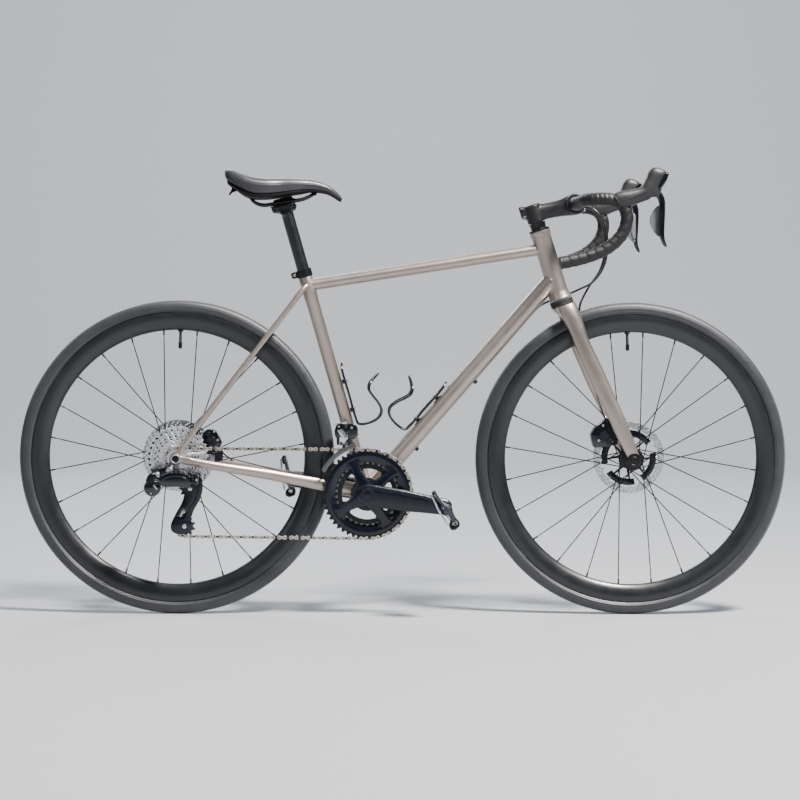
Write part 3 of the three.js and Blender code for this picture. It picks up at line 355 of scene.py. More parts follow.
class Look:
    """A Principled material whose colour, roughness and bump come from procedural nodes."""

    def __init__(self, name, **sockets):
        self.material = bpy.data.materials.new(name)
        self.material.use_nodes = True
        self.tree = self.material.node_tree
        self.shader = self.tree.nodes["Principled BSDF"]
        for socket, value in sockets.items():
            self.shader.inputs[socket.replace("_", " ")].default_value = value
        self.place = self.node("ShaderNodeTexCoord").outputs["Object"]
        self.normal = None

    def node(self, kind, *inputs, **properties):
        made = self.tree.nodes.new(kind)
        for key, value in properties.items():
            setattr(made, key, value)
        for socket, value in enumerate(inputs):
            if value is None:
                continue
            if isinstance(value, bpy.types.NodeSocket):
                self.tree.links.new(value, made.inputs[socket])
            else:
                made.inputs[socket].default_value = value
        return made

    def maths(self, operation, a, b=0.0, c=0.0):
        """The result of one sum."""
        return self.node("ShaderNodeMath", a, b, c, operation=operation).outputs[0]

    def polar(self, centre):
        """Coordinates round a wheel: distance round the rim, radius, and across, all in metres."""
        here = self.node("ShaderNodeSeparateXYZ", self.place).outputs
        x = self.maths("SUBTRACT", here[0], centre[0] * MM)
        z = self.maths("SUBTRACT", here[2], centre[2] * MM)
        angle = self.maths("ARCTAN2", z, x)
        square = self.maths("ADD", self.maths("MULTIPLY", x, x), self.maths("MULTIPLY", z, z))
        return angle, self.maths("SQRT", square), here[1]

    def stretched(self, scale, vector=None):
        """Object coordinates scaled by a different number along each axis."""
        vector = self.place if vector is None else vector
        return self.node("ShaderNodeVectorMath", vector, tuple(scale), operation="MULTIPLY").outputs[0]

    def noise(self, scale, detail=3.0, vector=None):
        """Soft clouds or fine grain, by scale."""
        made = self.node("ShaderNodeTexNoise")
        self.tree.links.new(self.place if vector is None else vector, made.inputs["Vector"])
        made.inputs["Scale"].default_value = scale
        made.inputs["Detail"].default_value = detail
        made.inputs["Roughness"].default_value = 0.55
        return made.outputs["Fac"]

    def cells(self, scale, feature="F1"):
        """Distance from the middle of the nearest cell."""
        made = self.node("ShaderNodeTexVoronoi", feature=feature)
        self.tree.links.new(self.place, made.inputs["Vector"])
        made.inputs["Scale"].default_value = scale
        return made.outputs["Distance"]

    def ramp(self, value, low, high, at=(0.35, 0.65)):
        """A colour that goes from low to high as a value goes between two numbers."""
        made = self.node("ShaderNodeValToRGB", value)
        ends = made.color_ramp.elements
        ends[0].position, ends[0].color = at[0], low
        ends[1].position, ends[1].color = at[1], high
        return made.outputs["Color"]

    def between(self, value, low, high, at=(0.3, 0.7)):
        """A number that goes from low to high as a value goes between two numbers."""
        return self.node("ShaderNodeMapRange", value, at[0], at[1], low, high).outputs[0]

    def mix(self, share, a, b):
        """A share of one colour laid over another."""
        made = self.node("ShaderNodeMix", data_type="RGBA", blend_type="MIX")
        for socket, value in ((0, share), (6, a), (7, b)):
            if isinstance(value, bpy.types.NodeSocket):
                self.tree.links.new(value, made.inputs[socket])
            else:
                made.inputs[socket].default_value = value
        return made.outputs[2]

    def colour(self, value):
        self.tree.links.new(value, self.shader.inputs["Base Color"])

    def roughness(self, value):
        self.tree.links.new(value, self.shader.inputs["Roughness"])

    def bump(self, height, strength, distance=0.0005):
        """Adds relief over what is there already; distance is its depth in metres."""
        made = self.node("ShaderNodeBump")
        made.inputs["Strength"].default_value = strength
        made.inputs["Distance"].default_value = distance
        self.tree.links.new(height, made.inputs["Height"])
        if self.normal is not None:
            self.tree.links.new(self.normal, made.inputs["Normal"])
        self.normal = made.outputs["Normal"]
        self.tree.links.new(self.normal, self.shader.inputs["Normal"])


def shade(colour, factor):
    """The colour made lighter or darker by a factor."""
    return tuple(min(1.0, c * factor) for c in colour[:3]) + (1.0,)


TONE_PATCH, GLOSS_PATCH, GLOSS_SPREAD = 60, 138, 0.06


def cast(name, colour, rough, tone=0.2, grain=1400, grain_depth=0.12, metallic=0.0, **sockets):
    """A moulded, painted or blasted surface: uneven tone, uneven gloss and a fine grain."""
    look = Look(name, Metallic=metallic, **sockets)
    look.colour(look.ramp(look.noise(TONE_PATCH, 4.0), shade(colour, 1 - tone), shade(colour, 1 + tone)))
    look.roughness(look.between(look.noise(GLOSS_PATCH, 5.0), rough - GLOSS_SPREAD, rough + GLOSS_SPREAD))
    look.bump(look.noise(grain, 2.0), grain_depth)
    return look.material


def make_titanium():
    """Bead-blasted titanium-coloured finish: a fine blasted grain and soft cloudiness."""
    look = Look("titanium_satin", Metallic=0.9, Specular_IOR_Level=0.5, Coat_Weight=0.12,
                Coat_Roughness=0.3)
    base = linear(162, 150, 142)
    cloud = look.ramp(look.noise(9, 3.0), shade(base, 0.93), shade(base, 1.07))
    grain = look.ramp(look.noise(2600, 2.0), shade(base, 0.88), shade(base, 1.1))
    look.colour(look.mix(0.4, cloud, grain))
    look.roughness(look.between(look.noise(30, 5.0), 0.32, 0.39))
    look.bump(look.noise(3200, 2.0), 0.16, 0.0002)
    look.bump(look.noise(14, 2.0), 0.05, 0.001)
    return look.material


RING_PITCH, TREAD_ROUND, TREAD_ACROSS = 0.0021, 520, 2600     # metres; turns of the cuts round and across


def make_tyre(name, centre):
    """Tyre rubber: a satin casing with fine rings, and a file-cut tread towards its shoulders."""
    look = Look(name, Specular_IOR_Level=0.6, Sheen_Weight=0.3, Sheen_Roughness=0.4)
    angle, radius, across = look.polar(centre)
    base = linear(27, 29, 33)
    look.colour(look.ramp(look.noise(26, 5.0), shade(base, 0.78), shade(base, 1.3)))
    look.roughness(look.between(look.noise(90, 4.0), 0.4, 0.52))
    rings = look.maths("SINE", look.maths("MULTIPLY", radius, TURN / RING_PITCH))
    look.bump(rings, 0.1, 0.0002)
    along, over = look.maths("MULTIPLY", angle, TREAD_ROUND), look.maths("MULTIPLY", across, TREAD_ACROSS)
    one, two = (look.maths("SINE", look.maths(way, along, over)) for way in ("ADD", "SUBTRACT"))
    cut = look.maths("MULTIPLY", look.maths("MAXIMUM", one, two),
                     look.between(radius, 0.0, 1.0, (0.3345, 0.3375)))
    cut = look.maths("MULTIPLY", cut, look.between(radius, 1.0, 0.0, (0.3405, 0.3425)))
    look.bump(cut, 0.35, 0.0004)
    look.bump(look.noise(1800, 3.0), 0.14, 0.0002)
    return look.material


def make_rim(name, centre):
    """Satin carbon: unidirectional fibre running round the rim, under a thin clear coat."""
    look = Look(name, Specular_IOR_Level=0.42, Coat_Weight=0.3, Coat_Roughness=0.2)
    angle, radius, across = look.polar(centre)
    weave = look.node("ShaderNodeCombineXYZ", look.maths("MULTIPLY", angle, 0.31), radius,
                      across).outputs[0]
    fibre = look.noise(1.0, 4.0, look.stretched((60, 1500, 1500), weave))
    base = linear(15, 17, 21)
    look.colour(look.ramp(fibre, shade(base, 0.62), shade(base, 1.35), (0.3, 0.7)))
    look.roughness(look.between(look.noise(40, 5.0), 0.3, 0.42))
    look.bump(fibre, 0.05, 0.0002)
    return look.material


def make_carbon_parts():
    """Satin carbon with its fibre drawn out upright, under a thin clear coat."""
    look = Look("carbon_satin", Specular_IOR_Level=0.5, Coat_Weight=0.25, Coat_Roughness=0.25)
    base = linear(12, 14, 20)
    fibre = look.noise(1.0, 4.0, look.stretched((1500, 1500, 120)))
    look.colour(look.ramp(fibre, shade(base, 0.6), shade(base, 1.4), (0.3, 0.7)))
    look.roughness(look.between(look.noise(50, 5.0), 0.26, 0.38))
    look.bump(look.noise(900, 3.0), 0.06, 0.0002)
    return look.material


def make_steel(name, colour, rough, centre=None, tone=0.1):
    """Bright steel, with turning marks round a centre where one is given."""
    look = Look(name, Metallic=1.0)
    look.colour(look.ramp(look.noise(160, 5.0), shade(colour, 1 - tone), shade(colour, 1 + tone)))
    look.roughness(look.between(look.noise(240, 4.0), rough - 0.07, rough + 0.09))
    if centre is not None:
        _, radius, _ = look.polar(centre)
        marks = look.node("ShaderNodeCombineXYZ", look.maths("MULTIPLY", radius, 3000), 0.0, 0.0).outputs[0]
        look.bump(look.noise(1.0, 2.0, marks), 0.1, 0.0002)
    else:
        look.bump(look.noise(1500, 3.0), 0.08, 0.0002)
    return look.material


def make_leather():
    """The saddle's cover: a fine pebbled grain with pores, a soft sheen and rubbed lighter patches."""
    look = Look("saddle_cover", Specular_IOR_Level=0.5, Sheen_Weight=0.25, Sheen_Roughness=0.4,
                Sheen_Tint=linear(190, 195, 205))
    base = linear(36, 36, 40)
    look.colour(look.mix(0.5, look.ramp(look.noise(24, 4.0), shade(base, 0.75), shade(base, 1.25)),
                         look.ramp(look.cells(900), shade(base, 0.7), shade(base, 1.2), (0.1, 0.6))))
    look.roughness(look.between(look.noise(60, 4.0), 0.3, 0.42))
    look.bump(look.cells(750), 0.3, 0.0003)
    look.bump(look.noise(260, 3.0), 0.12, 0.0004)
    return look.material


def make_hood_rubber():
    """Moulded lever-hood rubber with a fine dimpled texture."""
    look = Look("hood_rubber", Specular_IOR_Level=0.5, Sheen_Weight=0.08, Sheen_Roughness=0.4)
    base = linear(22, 22, 25)
    look.colour(look.ramp(look.noise(45, 4.0), shade(base, 0.8), shade(base, 1.2)))
    look.roughness(look.between(look.noise(80, 4.0), 0.42, 0.54))
    look.bump(look.cells(700, "SMOOTH_F1"), 0.35, 0.0003)
    look.bump(look.noise(2000, 2.0), 0.12, 0.0002)
    return look.material


def make_tape():
    """Handlebar tape: polyurethane with pinholes and creases, its gloss uneven."""
    look = Look("bar_tape", Specular_IOR_Level=0.42)
    base = linear(13, 13, 15)
    look.colour(look.ramp(look.noise(70, 5.0), shade(base, 0.7), shade(base, 1.3)))
    look.roughness(look.between(look.noise(120, 5.0), 0.42, 0.6))
    pin = look.between(look.cells(360), 0.0, 1.0, (0.06, 0.2))
    look.bump(pin, 0.4, 0.0004)
    look.bump(look.noise(420, 5.0), 0.3, 0.0004)
    return look.material


TITANIUM = make_titanium()
FRONT_TYRE_RUBBER = make_tyre("tyre_rubber_front", FRONT_AXLE)
REAR_TYRE_RUBBER = make_tyre("tyre_rubber_rear", REAR_AXLE)
FRONT_RIM_CARBON = make_rim("rim_carbon_front", FRONT_AXLE)
REAR_RIM_CARBON = make_rim("rim_carbon_rear", REAR_AXLE)
CARBON = make_carbon_parts()
LEATHER = make_leather()
HOOD_RUBBER = make_hood_rubber()
TAPE = make_tape()
BLACK = cast("black_anodised", linear(13, 14, 16), 0.34, metallic=0.4, tone=0.25)
MATTE_BLACK = cast("black_matte_alloy", linear(16, 16, 19), 0.44, metallic=0.2, tone=0.22, grain=2200,
                   grain_depth=0.18)
GLOSS = cast("gloss_black_alloy", linear(8, 11, 18), 0.2, metallic=0.3, tone=0.25, grain=900,
             grain_depth=0.03,
             Coat_Weight=0.7, Coat_Roughness=0.08)
SPIDER = cast("crank_blue_black", linear(4, 8, 19), 0.24, metallic=0.15, grain=1200, grain_depth=0.012,
              Specular_IOR_Level=0.4, Coat_Weight=0.15, Coat_Roughness=0.12)
PLASTIC = cast("black_plastic", linear(13, 13, 14), 0.5, grain=1700, grain_depth=0.2)
SHELL = cast("saddle_base_plastic", linear(9, 9, 10), 0.75, grain=1700, grain_depth=0.3,
             Specular_IOR_Level=0.12)
HOSE = cast("hose_cover", linear(14, 14, 15), 0.3, tone=0.25, grain=1600, grain_depth=0.1, Coat_Weight=0.2,
            Coat_Roughness=0.2)
SILVER = make_steel("silver_steel", linear(205, 206, 208), 0.26)
CHAIN_STEEL = make_steel("chain_steel", linear(190, 186, 177), 0.25, tone=0.12)
CHAIN_DARK = make_steel("chain_dark_steel", linear(52, 49, 45), 0.4, tone=0.2)
COG_STEEL = make_steel("cassette_steel", linear(232, 233, 235), 0.26, REAR_AXLE)
ROTOR_STEEL = make_steel("rotor_steel", linear(198, 202, 206), 0.24)
GREY_METAL = make_steel("grey_alloy", linear(112, 114, 118), 0.34)
CAGE_GREY = make_steel("cage_grey", linear(100, 101, 104), 0.34)
PEDAL_ALLOY = make_steel("pedal_alloy", linear(74, 76, 82), 0.42)
DARK_WIRE = make_steel("cage_wire_steel", linear(70, 71, 77), 0.17)
SPOKE = cast("spoke_black", linear(20, 20, 22), 0.3, metallic=0.7, grain=2000, grain_depth=0.05)
PADDLE_GREY = cast("paddle_grey", linear(96, 97, 100), 0.4, metallic=0.1, tone=0.1)
RUBBER = cast("soft_black_rubber", linear(18, 18, 19), 0.6, grain=1500, grain_depth=0.25)
CERAMIC = cast("brake_pad", linear(70, 66, 60), 0.8, tone=0.3, grain=1200, grain_depth=0.5)

# ------------------------------------------------------------------ wheels

RIM_OUTER, RIM_DEPTH = 316.0, 38.0
TYRE_HALF = 16.0
TYRE_CORE = WHEEL_RADIUS - TYRE_HALF
SPOKE_COUNT, SPOKE_CROSS = 24, math.radians(84)  # the angle is from a spoke's rim end to its hub end
# Each flange is its place across and its spoke circle's radius; the turn sets where the first spoke is.
FRONT_FLANGES, FRONT_SPOKE_TURN = [(-31.5, 22), (21.5, 22)], -20.1
REAR_FLANGES, REAR_SPOKE_TURN = [(-20.5, 25), (33.5, 23)], -23.8
ROUND, BLADED = (1.0, 1.0), (1.15, 0.65)         # a spoke's half thicknesses at its ends and between
# How far the tyre's skin stands off a round section, up to each angle from the crown.
TYRE_RELIEF = [(63, -0.05), (66, -0.45), (104, -0.5), (108, 0.1), (118, -0.5), (180, -0.4)]


def tyre_profile():
    """Half round casing with a rim strip, a fine bead line and a raised tread cap."""
    rows = []
    for a in np.radians(np.linspace(-134, 134, 68)):
        reach = TYRE_HALF + next(lift for until, lift in TYRE_RELIEF if abs(math.degrees(a)) < until)
        rows.append((TYRE_CORE + reach * math.cos(a), reach * math.sin(a)))
    return rows + [(TYRE_CORE - 11.5, 9.0), (TYRE_CORE - 11.5, -9.0)]


def rim_profile():
    """A deep rounded rim with hooked edges and a well for the tyre's beads."""
    half = [(316.0, 11.4), (316.4, 12.2), (316.0, 13.1), (314.2, 13.45), (309, 13.5), (303, 13.3),
            (297, 12.5),
            (291, 10.9), (286, 8.8), (282, 6.2), (279.3, 3.6)]
    rows = spline(half[3:] + [(278.0, 0.0)], 3)
    rows = [tuple(r) for r in half[:3]] + [tuple(r) for r in rows]
    other = [(r, -y) for r, y in reversed(rows[:-1])]
    well = [(312.5, -11.0), (311, -6), (308, 0), (311, 6), (312.5, 11.0)]
    return rows + other + well


def spoke_ends(i, offset, flanges):
    """Where a spoke leaves its flange and where it enters the rim, as offsets from the axle."""
    y, radius = flanges[i % 2]
    cross = 1 if i % 4 < 2 else -1
    at_rim = math.radians(360 / SPOKE_COUNT * i + offset)
    at_hub = at_rim + cross * SPOKE_CROSS
    tip = RIM_OUTER - RIM_DEPTH + 1
    return (np.array([radius * math.cos(at_hub), y + cross * 1.7, radius * math.sin(at_hub)]),
            np.array([tip * math.cos(at_rim), math.copysign(1.5, y), tip * math.sin(at_rim)]), cross)


def make_wheel(label, axle, offset, flanges, valve_angle, rubber, carbon):
    """Tyre, rim, spokes with their nipples, and valve."""
    body = label + "_wheel"
    piece(label + "_tyre_casing", Shell(turned(tyre_profile(), axle, sides=288, closed=True)), rubber, body,
          label + "_tyre", sharp=50)
    piece(label + "_rim_shell", Shell(turned(rim_profile(), axle, sides=288, closed=True)), carbon, body,
          label + "_rim", sharp=40)
    spokes, nipples = Shell(), Shell()
    for i in range(SPOKE_COUNT):
        hub_end, rim_end, cross = spoke_ends(i, offset, flanges)
        along = unit(rim_end - hub_end)
        length = np.linalg.norm(rim_end - hub_end)
        path = [axle + hub_end + along * s for s in (0, 14, 24, length - 26, length - 16, length)]
        spokes.add(sweep(path, [ROUND, ROUND, BLADED, BLADED, ROUND, ROUND], 8, up=ACROSS))
        out = ACROSS * math.copysign(1, flanges[i % 2][0]) * cross
        spokes.add(rod(axle + hub_end + out * 0.2, axle + hub_end + out * 2.6, 1.7, 2.0, 10, 0.4))
        nipples.add(turned([(1.6, 0), (1.9, 1.0), (1.9, 9), (2.4, 11), (2.4, 15)],
                           axle + rim_end - along * 11, along, 10))
    piece(label + "_spokes", spokes, SPOKE, body)
    piece(label + "_spoke_nipples", nipples, BLACK, body)
    a = math.radians(valve_angle)
    inward = -np.array([math.cos(a), 0, math.sin(a)])
    foot = axle - inward * (RIM_OUTER - RIM_DEPTH - 0.5)
    thread = [(3.0 + (0.25 if k % 2 else 0), 1.0 + k * 0.7) for k in range(34)]
    valve = Shell(turned([(5.2, -1), (6.0, 0), (6.0, 2.2), (4.6, 3.0), (3.0, 3.2)], foot, inward, 20),
                  turned([(3.0, 0)] + thread + [(2.6, 25.2), (3.9, 25.6), (4.2, 26.6), (4.2, 37.0),
                                                (3.4, 39.2), (1.8, 40)], foot, inward, 16))
    piece(label + "_valve", valve, BLACK, body)


make_wheel("front", FRONT_AXLE, FRONT_SPOKE_TURN, FRONT_FLANGES, 92.2, FRONT_TYRE_RUBBER, FRONT_RIM_CARBON)
make_wheel("rear", REAR_AXLE, REAR_SPOKE_TURN, REAR_FLANGES, 88.7, REAR_TYRE_RUBBER, REAR_RIM_CARBON)

# ------------------------------------------------------------------ frame

SEAT_LEAN = math.radians(73.8)
HEAD_BOTTOM, HEAD_TOP, CROWN_TOP = 694.0, 843.0, 681.0
TOP_TUBE = (np.array([-213, 0, 721.5]), np.array([306, 0, 805.0]), 12.7)
DOWN_TUBE = (np.array([-84, 0, 267.0]), np.array([326, 0, 742.0]), 19.0)
SEAT_TUBE_RADIUS, SHELL_RADIUS, SHELL_HALF = 14.3, 22.0, 38.0
FINE = 64                                      # sides of a large round tube


def seat_at(z):
    """The point of the seat tube's axis at height z."""
    return np.array([BB[0] - (z - BB[2]) / math.tan(SEAT_LEAN), 0, z])


def meeting(a, b, radius, c, d, other, sides=56):
    """Where the skin of a round bar from a to b first meets another round bar round the line c to d."""
    along, line = unit(b - a), unit(d - c)
    first, second = basis(along)
    points = []
    for angle in np.arange(sides) * TURN / sides:
        start = a + radius * (first * math.cos(angle) + second * math.sin(angle)) - c
        p, q = start - line * (start @ line), along - line * (along @ line)
        half, rest = (p @ q) / (q @ q), (p @ p - other * other) / (q @ q)
        root = math.sqrt(max(half * half - rest, 0.0))
        points.append(start + c + along * (-half - root))
    return np.array(points)


def weld(a, b, radius, c, d, other, size=1.15):
    """A dressed weld bead round the joint of two tubes, with the ripple of its passes."""
    path = meeting(np.asarray(a, float), np.asarray(b, float), radius, np.asarray(c, float),
                   np.asarray(d, float), other - 0.5)
    path = spline(path, 5, closed=True)
    ripple = size + 0.09 * np.sin(np.arange(len(path)) * TURN / 5)
    return sweep(path, ripple, 10, closed=True)


def cut_with(obj, shell, label):
    """Takes another closed shape out of an object."""
    tool = piece(label, shell, BLACK, None)
    cutter = obj.modifiers.new(label, "BOOLEAN")
    cutter.operation, cutter.object, cutter.solver = "DIFFERENCE", tool, "EXACT"
    settle(obj)
    bpy.data.objects.remove(tool)


def settle(obj):
    """Turns an object's modifiers into its mesh."""
    graph = bpy.context.evaluated_depsgraph_get()
    made = bpy.data.meshes.new_from_object(obj.evaluated_get(graph))
    obj.modifiers.clear()
    old, obj.data = obj.data, made
    bpy.data.meshes.remove(old)


def fused(obj, voxel, rounds):
    """Grows overlapping shapes into one skin with soft fillets where they meet."""
    remesh = obj.modifiers.new("skin", "REMESH")
    remesh.mode, remesh.voxel_size = "VOXEL", voxel * MM
    soften = obj.modifiers.new("soften", "SMOOTH")
    soften.factor, soften.iterations = 0.5, rounds
    settle(obj)
    creased(obj.data, 60)


def head_tube_profile():
    """A straight tube with a flared lower cup and a small collar on top."""
    length = (HEAD_TOP - HEAD_BOTTOM) / STEER_AXIS[2]
    rows = [(25.1, 0), (25.5, 0.4), (25.5, 4.6), (25.2, 5.0)]
    rows += [tuple(r) for r in spline([(25.0, 5.6), (23.6, 11), (22.0, 18), (21.5, 25)], 5)]
    rows += [(21.5, length - 12), (21.7, length - 10.8), (22.9, length - 10), (23.1, length - 9.4),
             (23.1, length - 0.6), (22.5, length)]
    return rows


top_a, top_b, top_r = TOP_TUBE
down_a, down_b, down_r = DOWN_TUBE
head_low, head_high = steer_at(HEAD_BOTTOM), steer_at(HEAD_TOP)
seat_low, seat_high = seat_at(BB[2]), seat_at(749)
shell_a, shell_b = BB - ACROSS * SHELL_HALF, BB + ACROSS * SHELL_HALF

piece("head_tube_shell", Shell(
    turned(head_tube_profile(), head_low, STEER_AXIS, FINE)), TITANIUM, "frame", "head_tube")
piece("top_tube_shell", Shell(
    rod(top_a, top_b, top_r, sides=FINE),
    weld(top_a, top_b, top_r, head_low, head_high, 21.5),
    weld(top_b, top_a, top_r, seat_low, seat_high, 15.2)), TITANIUM, "frame", "top_tube")
piece("down_tube_shell", Shell(
    rod(down_a, down_b, down_r, sides=FINE),
    weld(down_a, down_b, down_r, head_low, head_high, 21.5, 1.3),
    weld(down_b, down_a, down_r, shell_a, shell_b, SHELL_RADIUS, 1.3)), TITANIUM, "frame",
    "down_tube")

seat_length = np.linalg.norm(seat_high - seat_low)
sleeve_from = np.linalg.norm(seat_at(688) - seat_low)
piece("seat_tube_shell", Shell(
    turned([(SEAT_TUBE_RADIUS, 0), (SEAT_TUBE_RADIUS, sleeve_from), (15.2, sleeve_from + 2.5),
            (15.2, seat_length - 0.6), (14.9, seat_length), (13.9, seat_length), (13.9, seat_length - 12)],
           seat_low, seat_high - seat_low, FINE),
    turned(ring_profile(19.6, SHELL_RADIUS, -SHELL_HALF, SHELL_HALF, 0.8), BB, sides=FINE, closed=True),
    weld(seat_high, seat_low, SEAT_TUBE_RADIUS, shell_a, shell_b, SHELL_RADIUS, 1.2)),
    TITANIUM, "frame", "seat_tube")

CHAIN_STAY = [(-482, 73.5, 340, 3.4, 8.5), (-470, 72.8, 338.6, 4.4, 8.8), (-455, 71.5, 336, 5.5, 9),
              (-412, 67.5, 328, 6.5, 9.5), (-300, 49, 309.5, 8, 11.5), (-235, 38, 296.5, 7.5, 12.5),
              (-165, 29.5, 283, 7, 14), (-100, 27, 271, 7, 15)]
SEAT_STAY = [(-212, 6, 725, 6.4), (-226, 15, 712, 6.4), (-250, 20.5, 680, 6.3), (-300, 32, 614, 6.2),
             (-380, 50, 509, 6.1), (-430, 61, 443, 6.0), (-452, 66, 414, 5.9), (-470, 70.4, 388, 5.6),
             (-482, 73.2, 371.5, 5.0), (-490, 74.2, 360, 3.6)]
STAY_WEB = [(-503, 350), (-496, 364), (-487, 377), (-480, 375), (-482, 364), (-489, 348), (-494, 340)]
CHAIN_WEB = [(-500, 352), (-488, 350), (-472, 347), (-465, 346), (-463, 331), (-474, 332), (-488, 335),
             (-500, 336)]
HANGER_WEB = [(-510, 340), (-490, 333), (-495, 320), (-501, 311), (-512, 309), (-520, 316), (-518, 328)]


def chain_stay():
    """The left chain stay, its axle boss and the webs that join it to the seat stay."""
    rows = stations(CHAIN_STAY, 6)
    rings = [oval(r[:3], r[3], r[4], (0, 1, 0), (0, 0, 1), 40) for r in rows]
    boss = turned(ring_profile(7.2, 11.8, 70.9, 77.6, 0.6), REAR_AXLE, sides=40, closed=True)
    webs = [stamped([rounded(STAY_WEB, 5, 6)], 71.5, 76.7, 1.6, 3),
            stamped([rounded(CHAIN_WEB, 5, 6)], 71.4, 76.8, 1.6, 3)]
    return [skin(rings), boss] + webs


def stay_with_dropout(side, name, node):
    """A chain stay grown into its dropout, bored for the axle."""
    made = piece(name, Shell(*[s if side > 0 else flipped(s) for s in chain_stay()]), TITANIUM, None,
                 node)
    fused(made, 1.0, 5)
    cut_with(made, Shell(turned([(7.0, side * 60), (7.0, side * 90)], REAR_AXLE, sides=40)), "axle_room")
    creased(made.data, 40)
    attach(made, "frame")


def seat_stay():
    """The left seat stay."""
    rows = stations(SEAT_STAY, 6)
    return sweep(rows[:, :3], rows[:, 3], 32)


# The hanger is a bare grey insert bolted to the outside of the right dropout.
hanger = stamped([rounded(HANGER_WEB, 5, 6), circle2(4.2, 20, -510, 321)[::-1]], -79.4, -76.4, 0.8, 2)
stay_with_dropout(-1, "chain_stay_right_shell", "chain_stay_right")
stay_with_dropout(1, "chain_stay_left_shell", "chain_stay_left")
piece("seat_stay_right_shell", Shell(flipped(seat_stay())), TITANIUM, "frame",
      "seat_stay_right")
piece("seat_stay_left_shell", Shell(seat_stay()), TITANIUM, "frame", "seat_stay_left")
piece("derailleur_hanger", Shell(hanger), GREY_METAL, "frame")

# Seat collar: a black band with a rear ear and a bright cross bolt.
seat_up = unit(seat_high - seat_low)
seat_back = np.array([-seat_up[2], 0, seat_up[0]])
collar_low = seat_at(740)
collar = turned(ring_profile(15.3, 17.2, 0, 17, 0.7), collar_low, seat_up, FINE, closed=True)
ear_at = seat_at(749) + seat_back * 22
ear = skin([oval(ear_at + ACROSS * y, a, a, seat_back, seat_up, 32, 4) for y,
            a in ((-7.5, 6.2), (-6.7, 7), (6.7, 7), (7.5, 6.2))])
ear_web = skin([oval(seat_at(748.5) + seat_back * s, 7.0, 6.4, ACROSS, seat_up, 24, 4) for s in (15.5, 20)])
piece("seat_collar_band", Shell(collar, ear, ear_web), BLACK, "frame", "seat_collar",
      sharp=34)
piece("seat_collar_bolt", Shell(bolt(ear_at - ACROSS * 7, -ACROSS, 3.7, 2.6),
                                rod(ear_at + ACROSS * 7, ear_at + ACROSS * 10, 4.2, sides=6, soft=0.5)),
      SILVER, "frame")

# Bosses and the hose port along the down tube, and the bottom-bracket cups.
down_along = unit(down_b - down_a)
down_out = np.array([-down_along[2], 0, down_along[0]])
under = Shell()
for reach in (340.0, 144.0):
    foot = down_a + down_along * (reach + 1) - down_out * (down_r - 0.4)
    under.add(turned([(6.4, 0), (6.0, 1.4), (4.9, 2.0)], foot, -down_out, 28))
    under.add(bolt(foot - down_out * 2.0, -down_out, 4.0, 3.6))
piece("down_tube_under_bosses", under, BLACK, "frame")
port_at = np.array([290.0, 20.5, 672.0])
port_foot = down_a + down_along * ((port_at - down_a) @ down_along)
port_out = unit(port_at - port_foot)
port_skin = port_foot + port_out * down_r
port = skin([oval(port_skin + port_out * t, a, b, down_along, np.cross(port_out, down_along), 36)
             for t, a, b in ((-1.5, 13.5, 6.5), (0.6, 13.5, 6.5), (1.3, 12.6, 5.7), (1.3, 6.4, 3.4),
                             (-0.6, 6, 3.2))])
piece("hose_port", Shell(port), SILVER, "frame")
cups = Shell()
for side in (-1, 1):
    cups.add(turned([(15.4, side * 38.0), (21.7, side * 38.0), (21.7, side * 41.6), (21.0, side * 42.3),
                     (18.0, side * 42.4), (15.4, side * 41.0)], BB, sides=48, closed=True))
    for k in range(16):
        a = k * TURN / 16
        spot = BB + np.array([21.3 * math.cos(a), side * 40.2, 21.3 * math.sin(a)])
        cups.add(rod(spot - ACROSS * 1.5, spot + ACROSS * 1.5, 1.1, sides=8))
cups.add(turned(ring_profile(16.6, 19.2, -37, 37, 0.4), BB, sides=40, closed=True))
piece("bottom_bracket_cups", cups, BLACK, "frame", "bottom_bracket")

# ------------------------------------------------------------------ headset, fork and stem

lower_ring = turned([(15.0, 0), (25.0, 0), (25.7, 0.7), (25.7, 5.2), (25.0, 5.9), (25.3, 6.3), (26.0, 6.9),
                     (26.0, 11.6), (25.3, 12.4), (15.0, 12.6)], steer_at(CROWN_TOP), STEER_AXIS, FINE,
                     closed=True)
piece("headset_lower_ring", Shell(lower_ring), RUBBER, "frame", "headset_lower_cup")
upper_ring = turned([(15.0, 0.3), (22.3, 0.3), (22.7, 0.7), (22.7, 4.6), (22.2, 5.2), (18.4, 5.5),
                     (17.2, 6.4),
                     (17.0, 11), (18.0, 16.5), (18.8, 19.2), (15.0, 19.3)], steer_at(HEAD_TOP), STEER_AXIS,
                     FINE,
                    closed=True)
piece("headset_upper_cone", Shell(upper_ring), BLACK, "frame", "headset_upper_cup")
dust = turned(ring_profile(21.0, 22.9, 0.2, 1.3, 0.2), steer_at(HEAD_TOP), STEER_AXIS, FINE, closed=True)
piece("headset_seal", Shell(dust), GREY_METAL, "frame")

FORK_BLADE = [(338, 14, 700, 24, 16), (349, 18, 684, 24.5, 20), (358.5, 27, 662, 22.4, 16.5),
              (367.5, 32, 642, 21.2, 13.8),
              (376.5, 37, 620, 18.9, 11.8), (384, 39.4, 600, 18.7, 11.2), (397, 42, 570, 20.2, 10.8),
              (412.7, 45, 537, 20.3, 10.2),
              (424, 46.5, 511, 20.4, 9.8), (440, 49, 478, 19.6, 9.0), (453, 51, 452, 19.2, 8.4),
              (467, 52.8, 420, 18.0, 7.2),
              (481, 54.4, 389, 17.4, 5.6), (493, 55, 362, 15.4, 4.4), (499.5, 55, 346, 13.4, 3.8)]


def fork_blade():
    """The left blade, from the crown to the axle."""
    rows = stations(FORK_BLADE, 5)
    return skin([oval(r[:3], r[3], r[4], (1, 0, 0), (0, 1, 0), 40, 2.25) for r in rows])


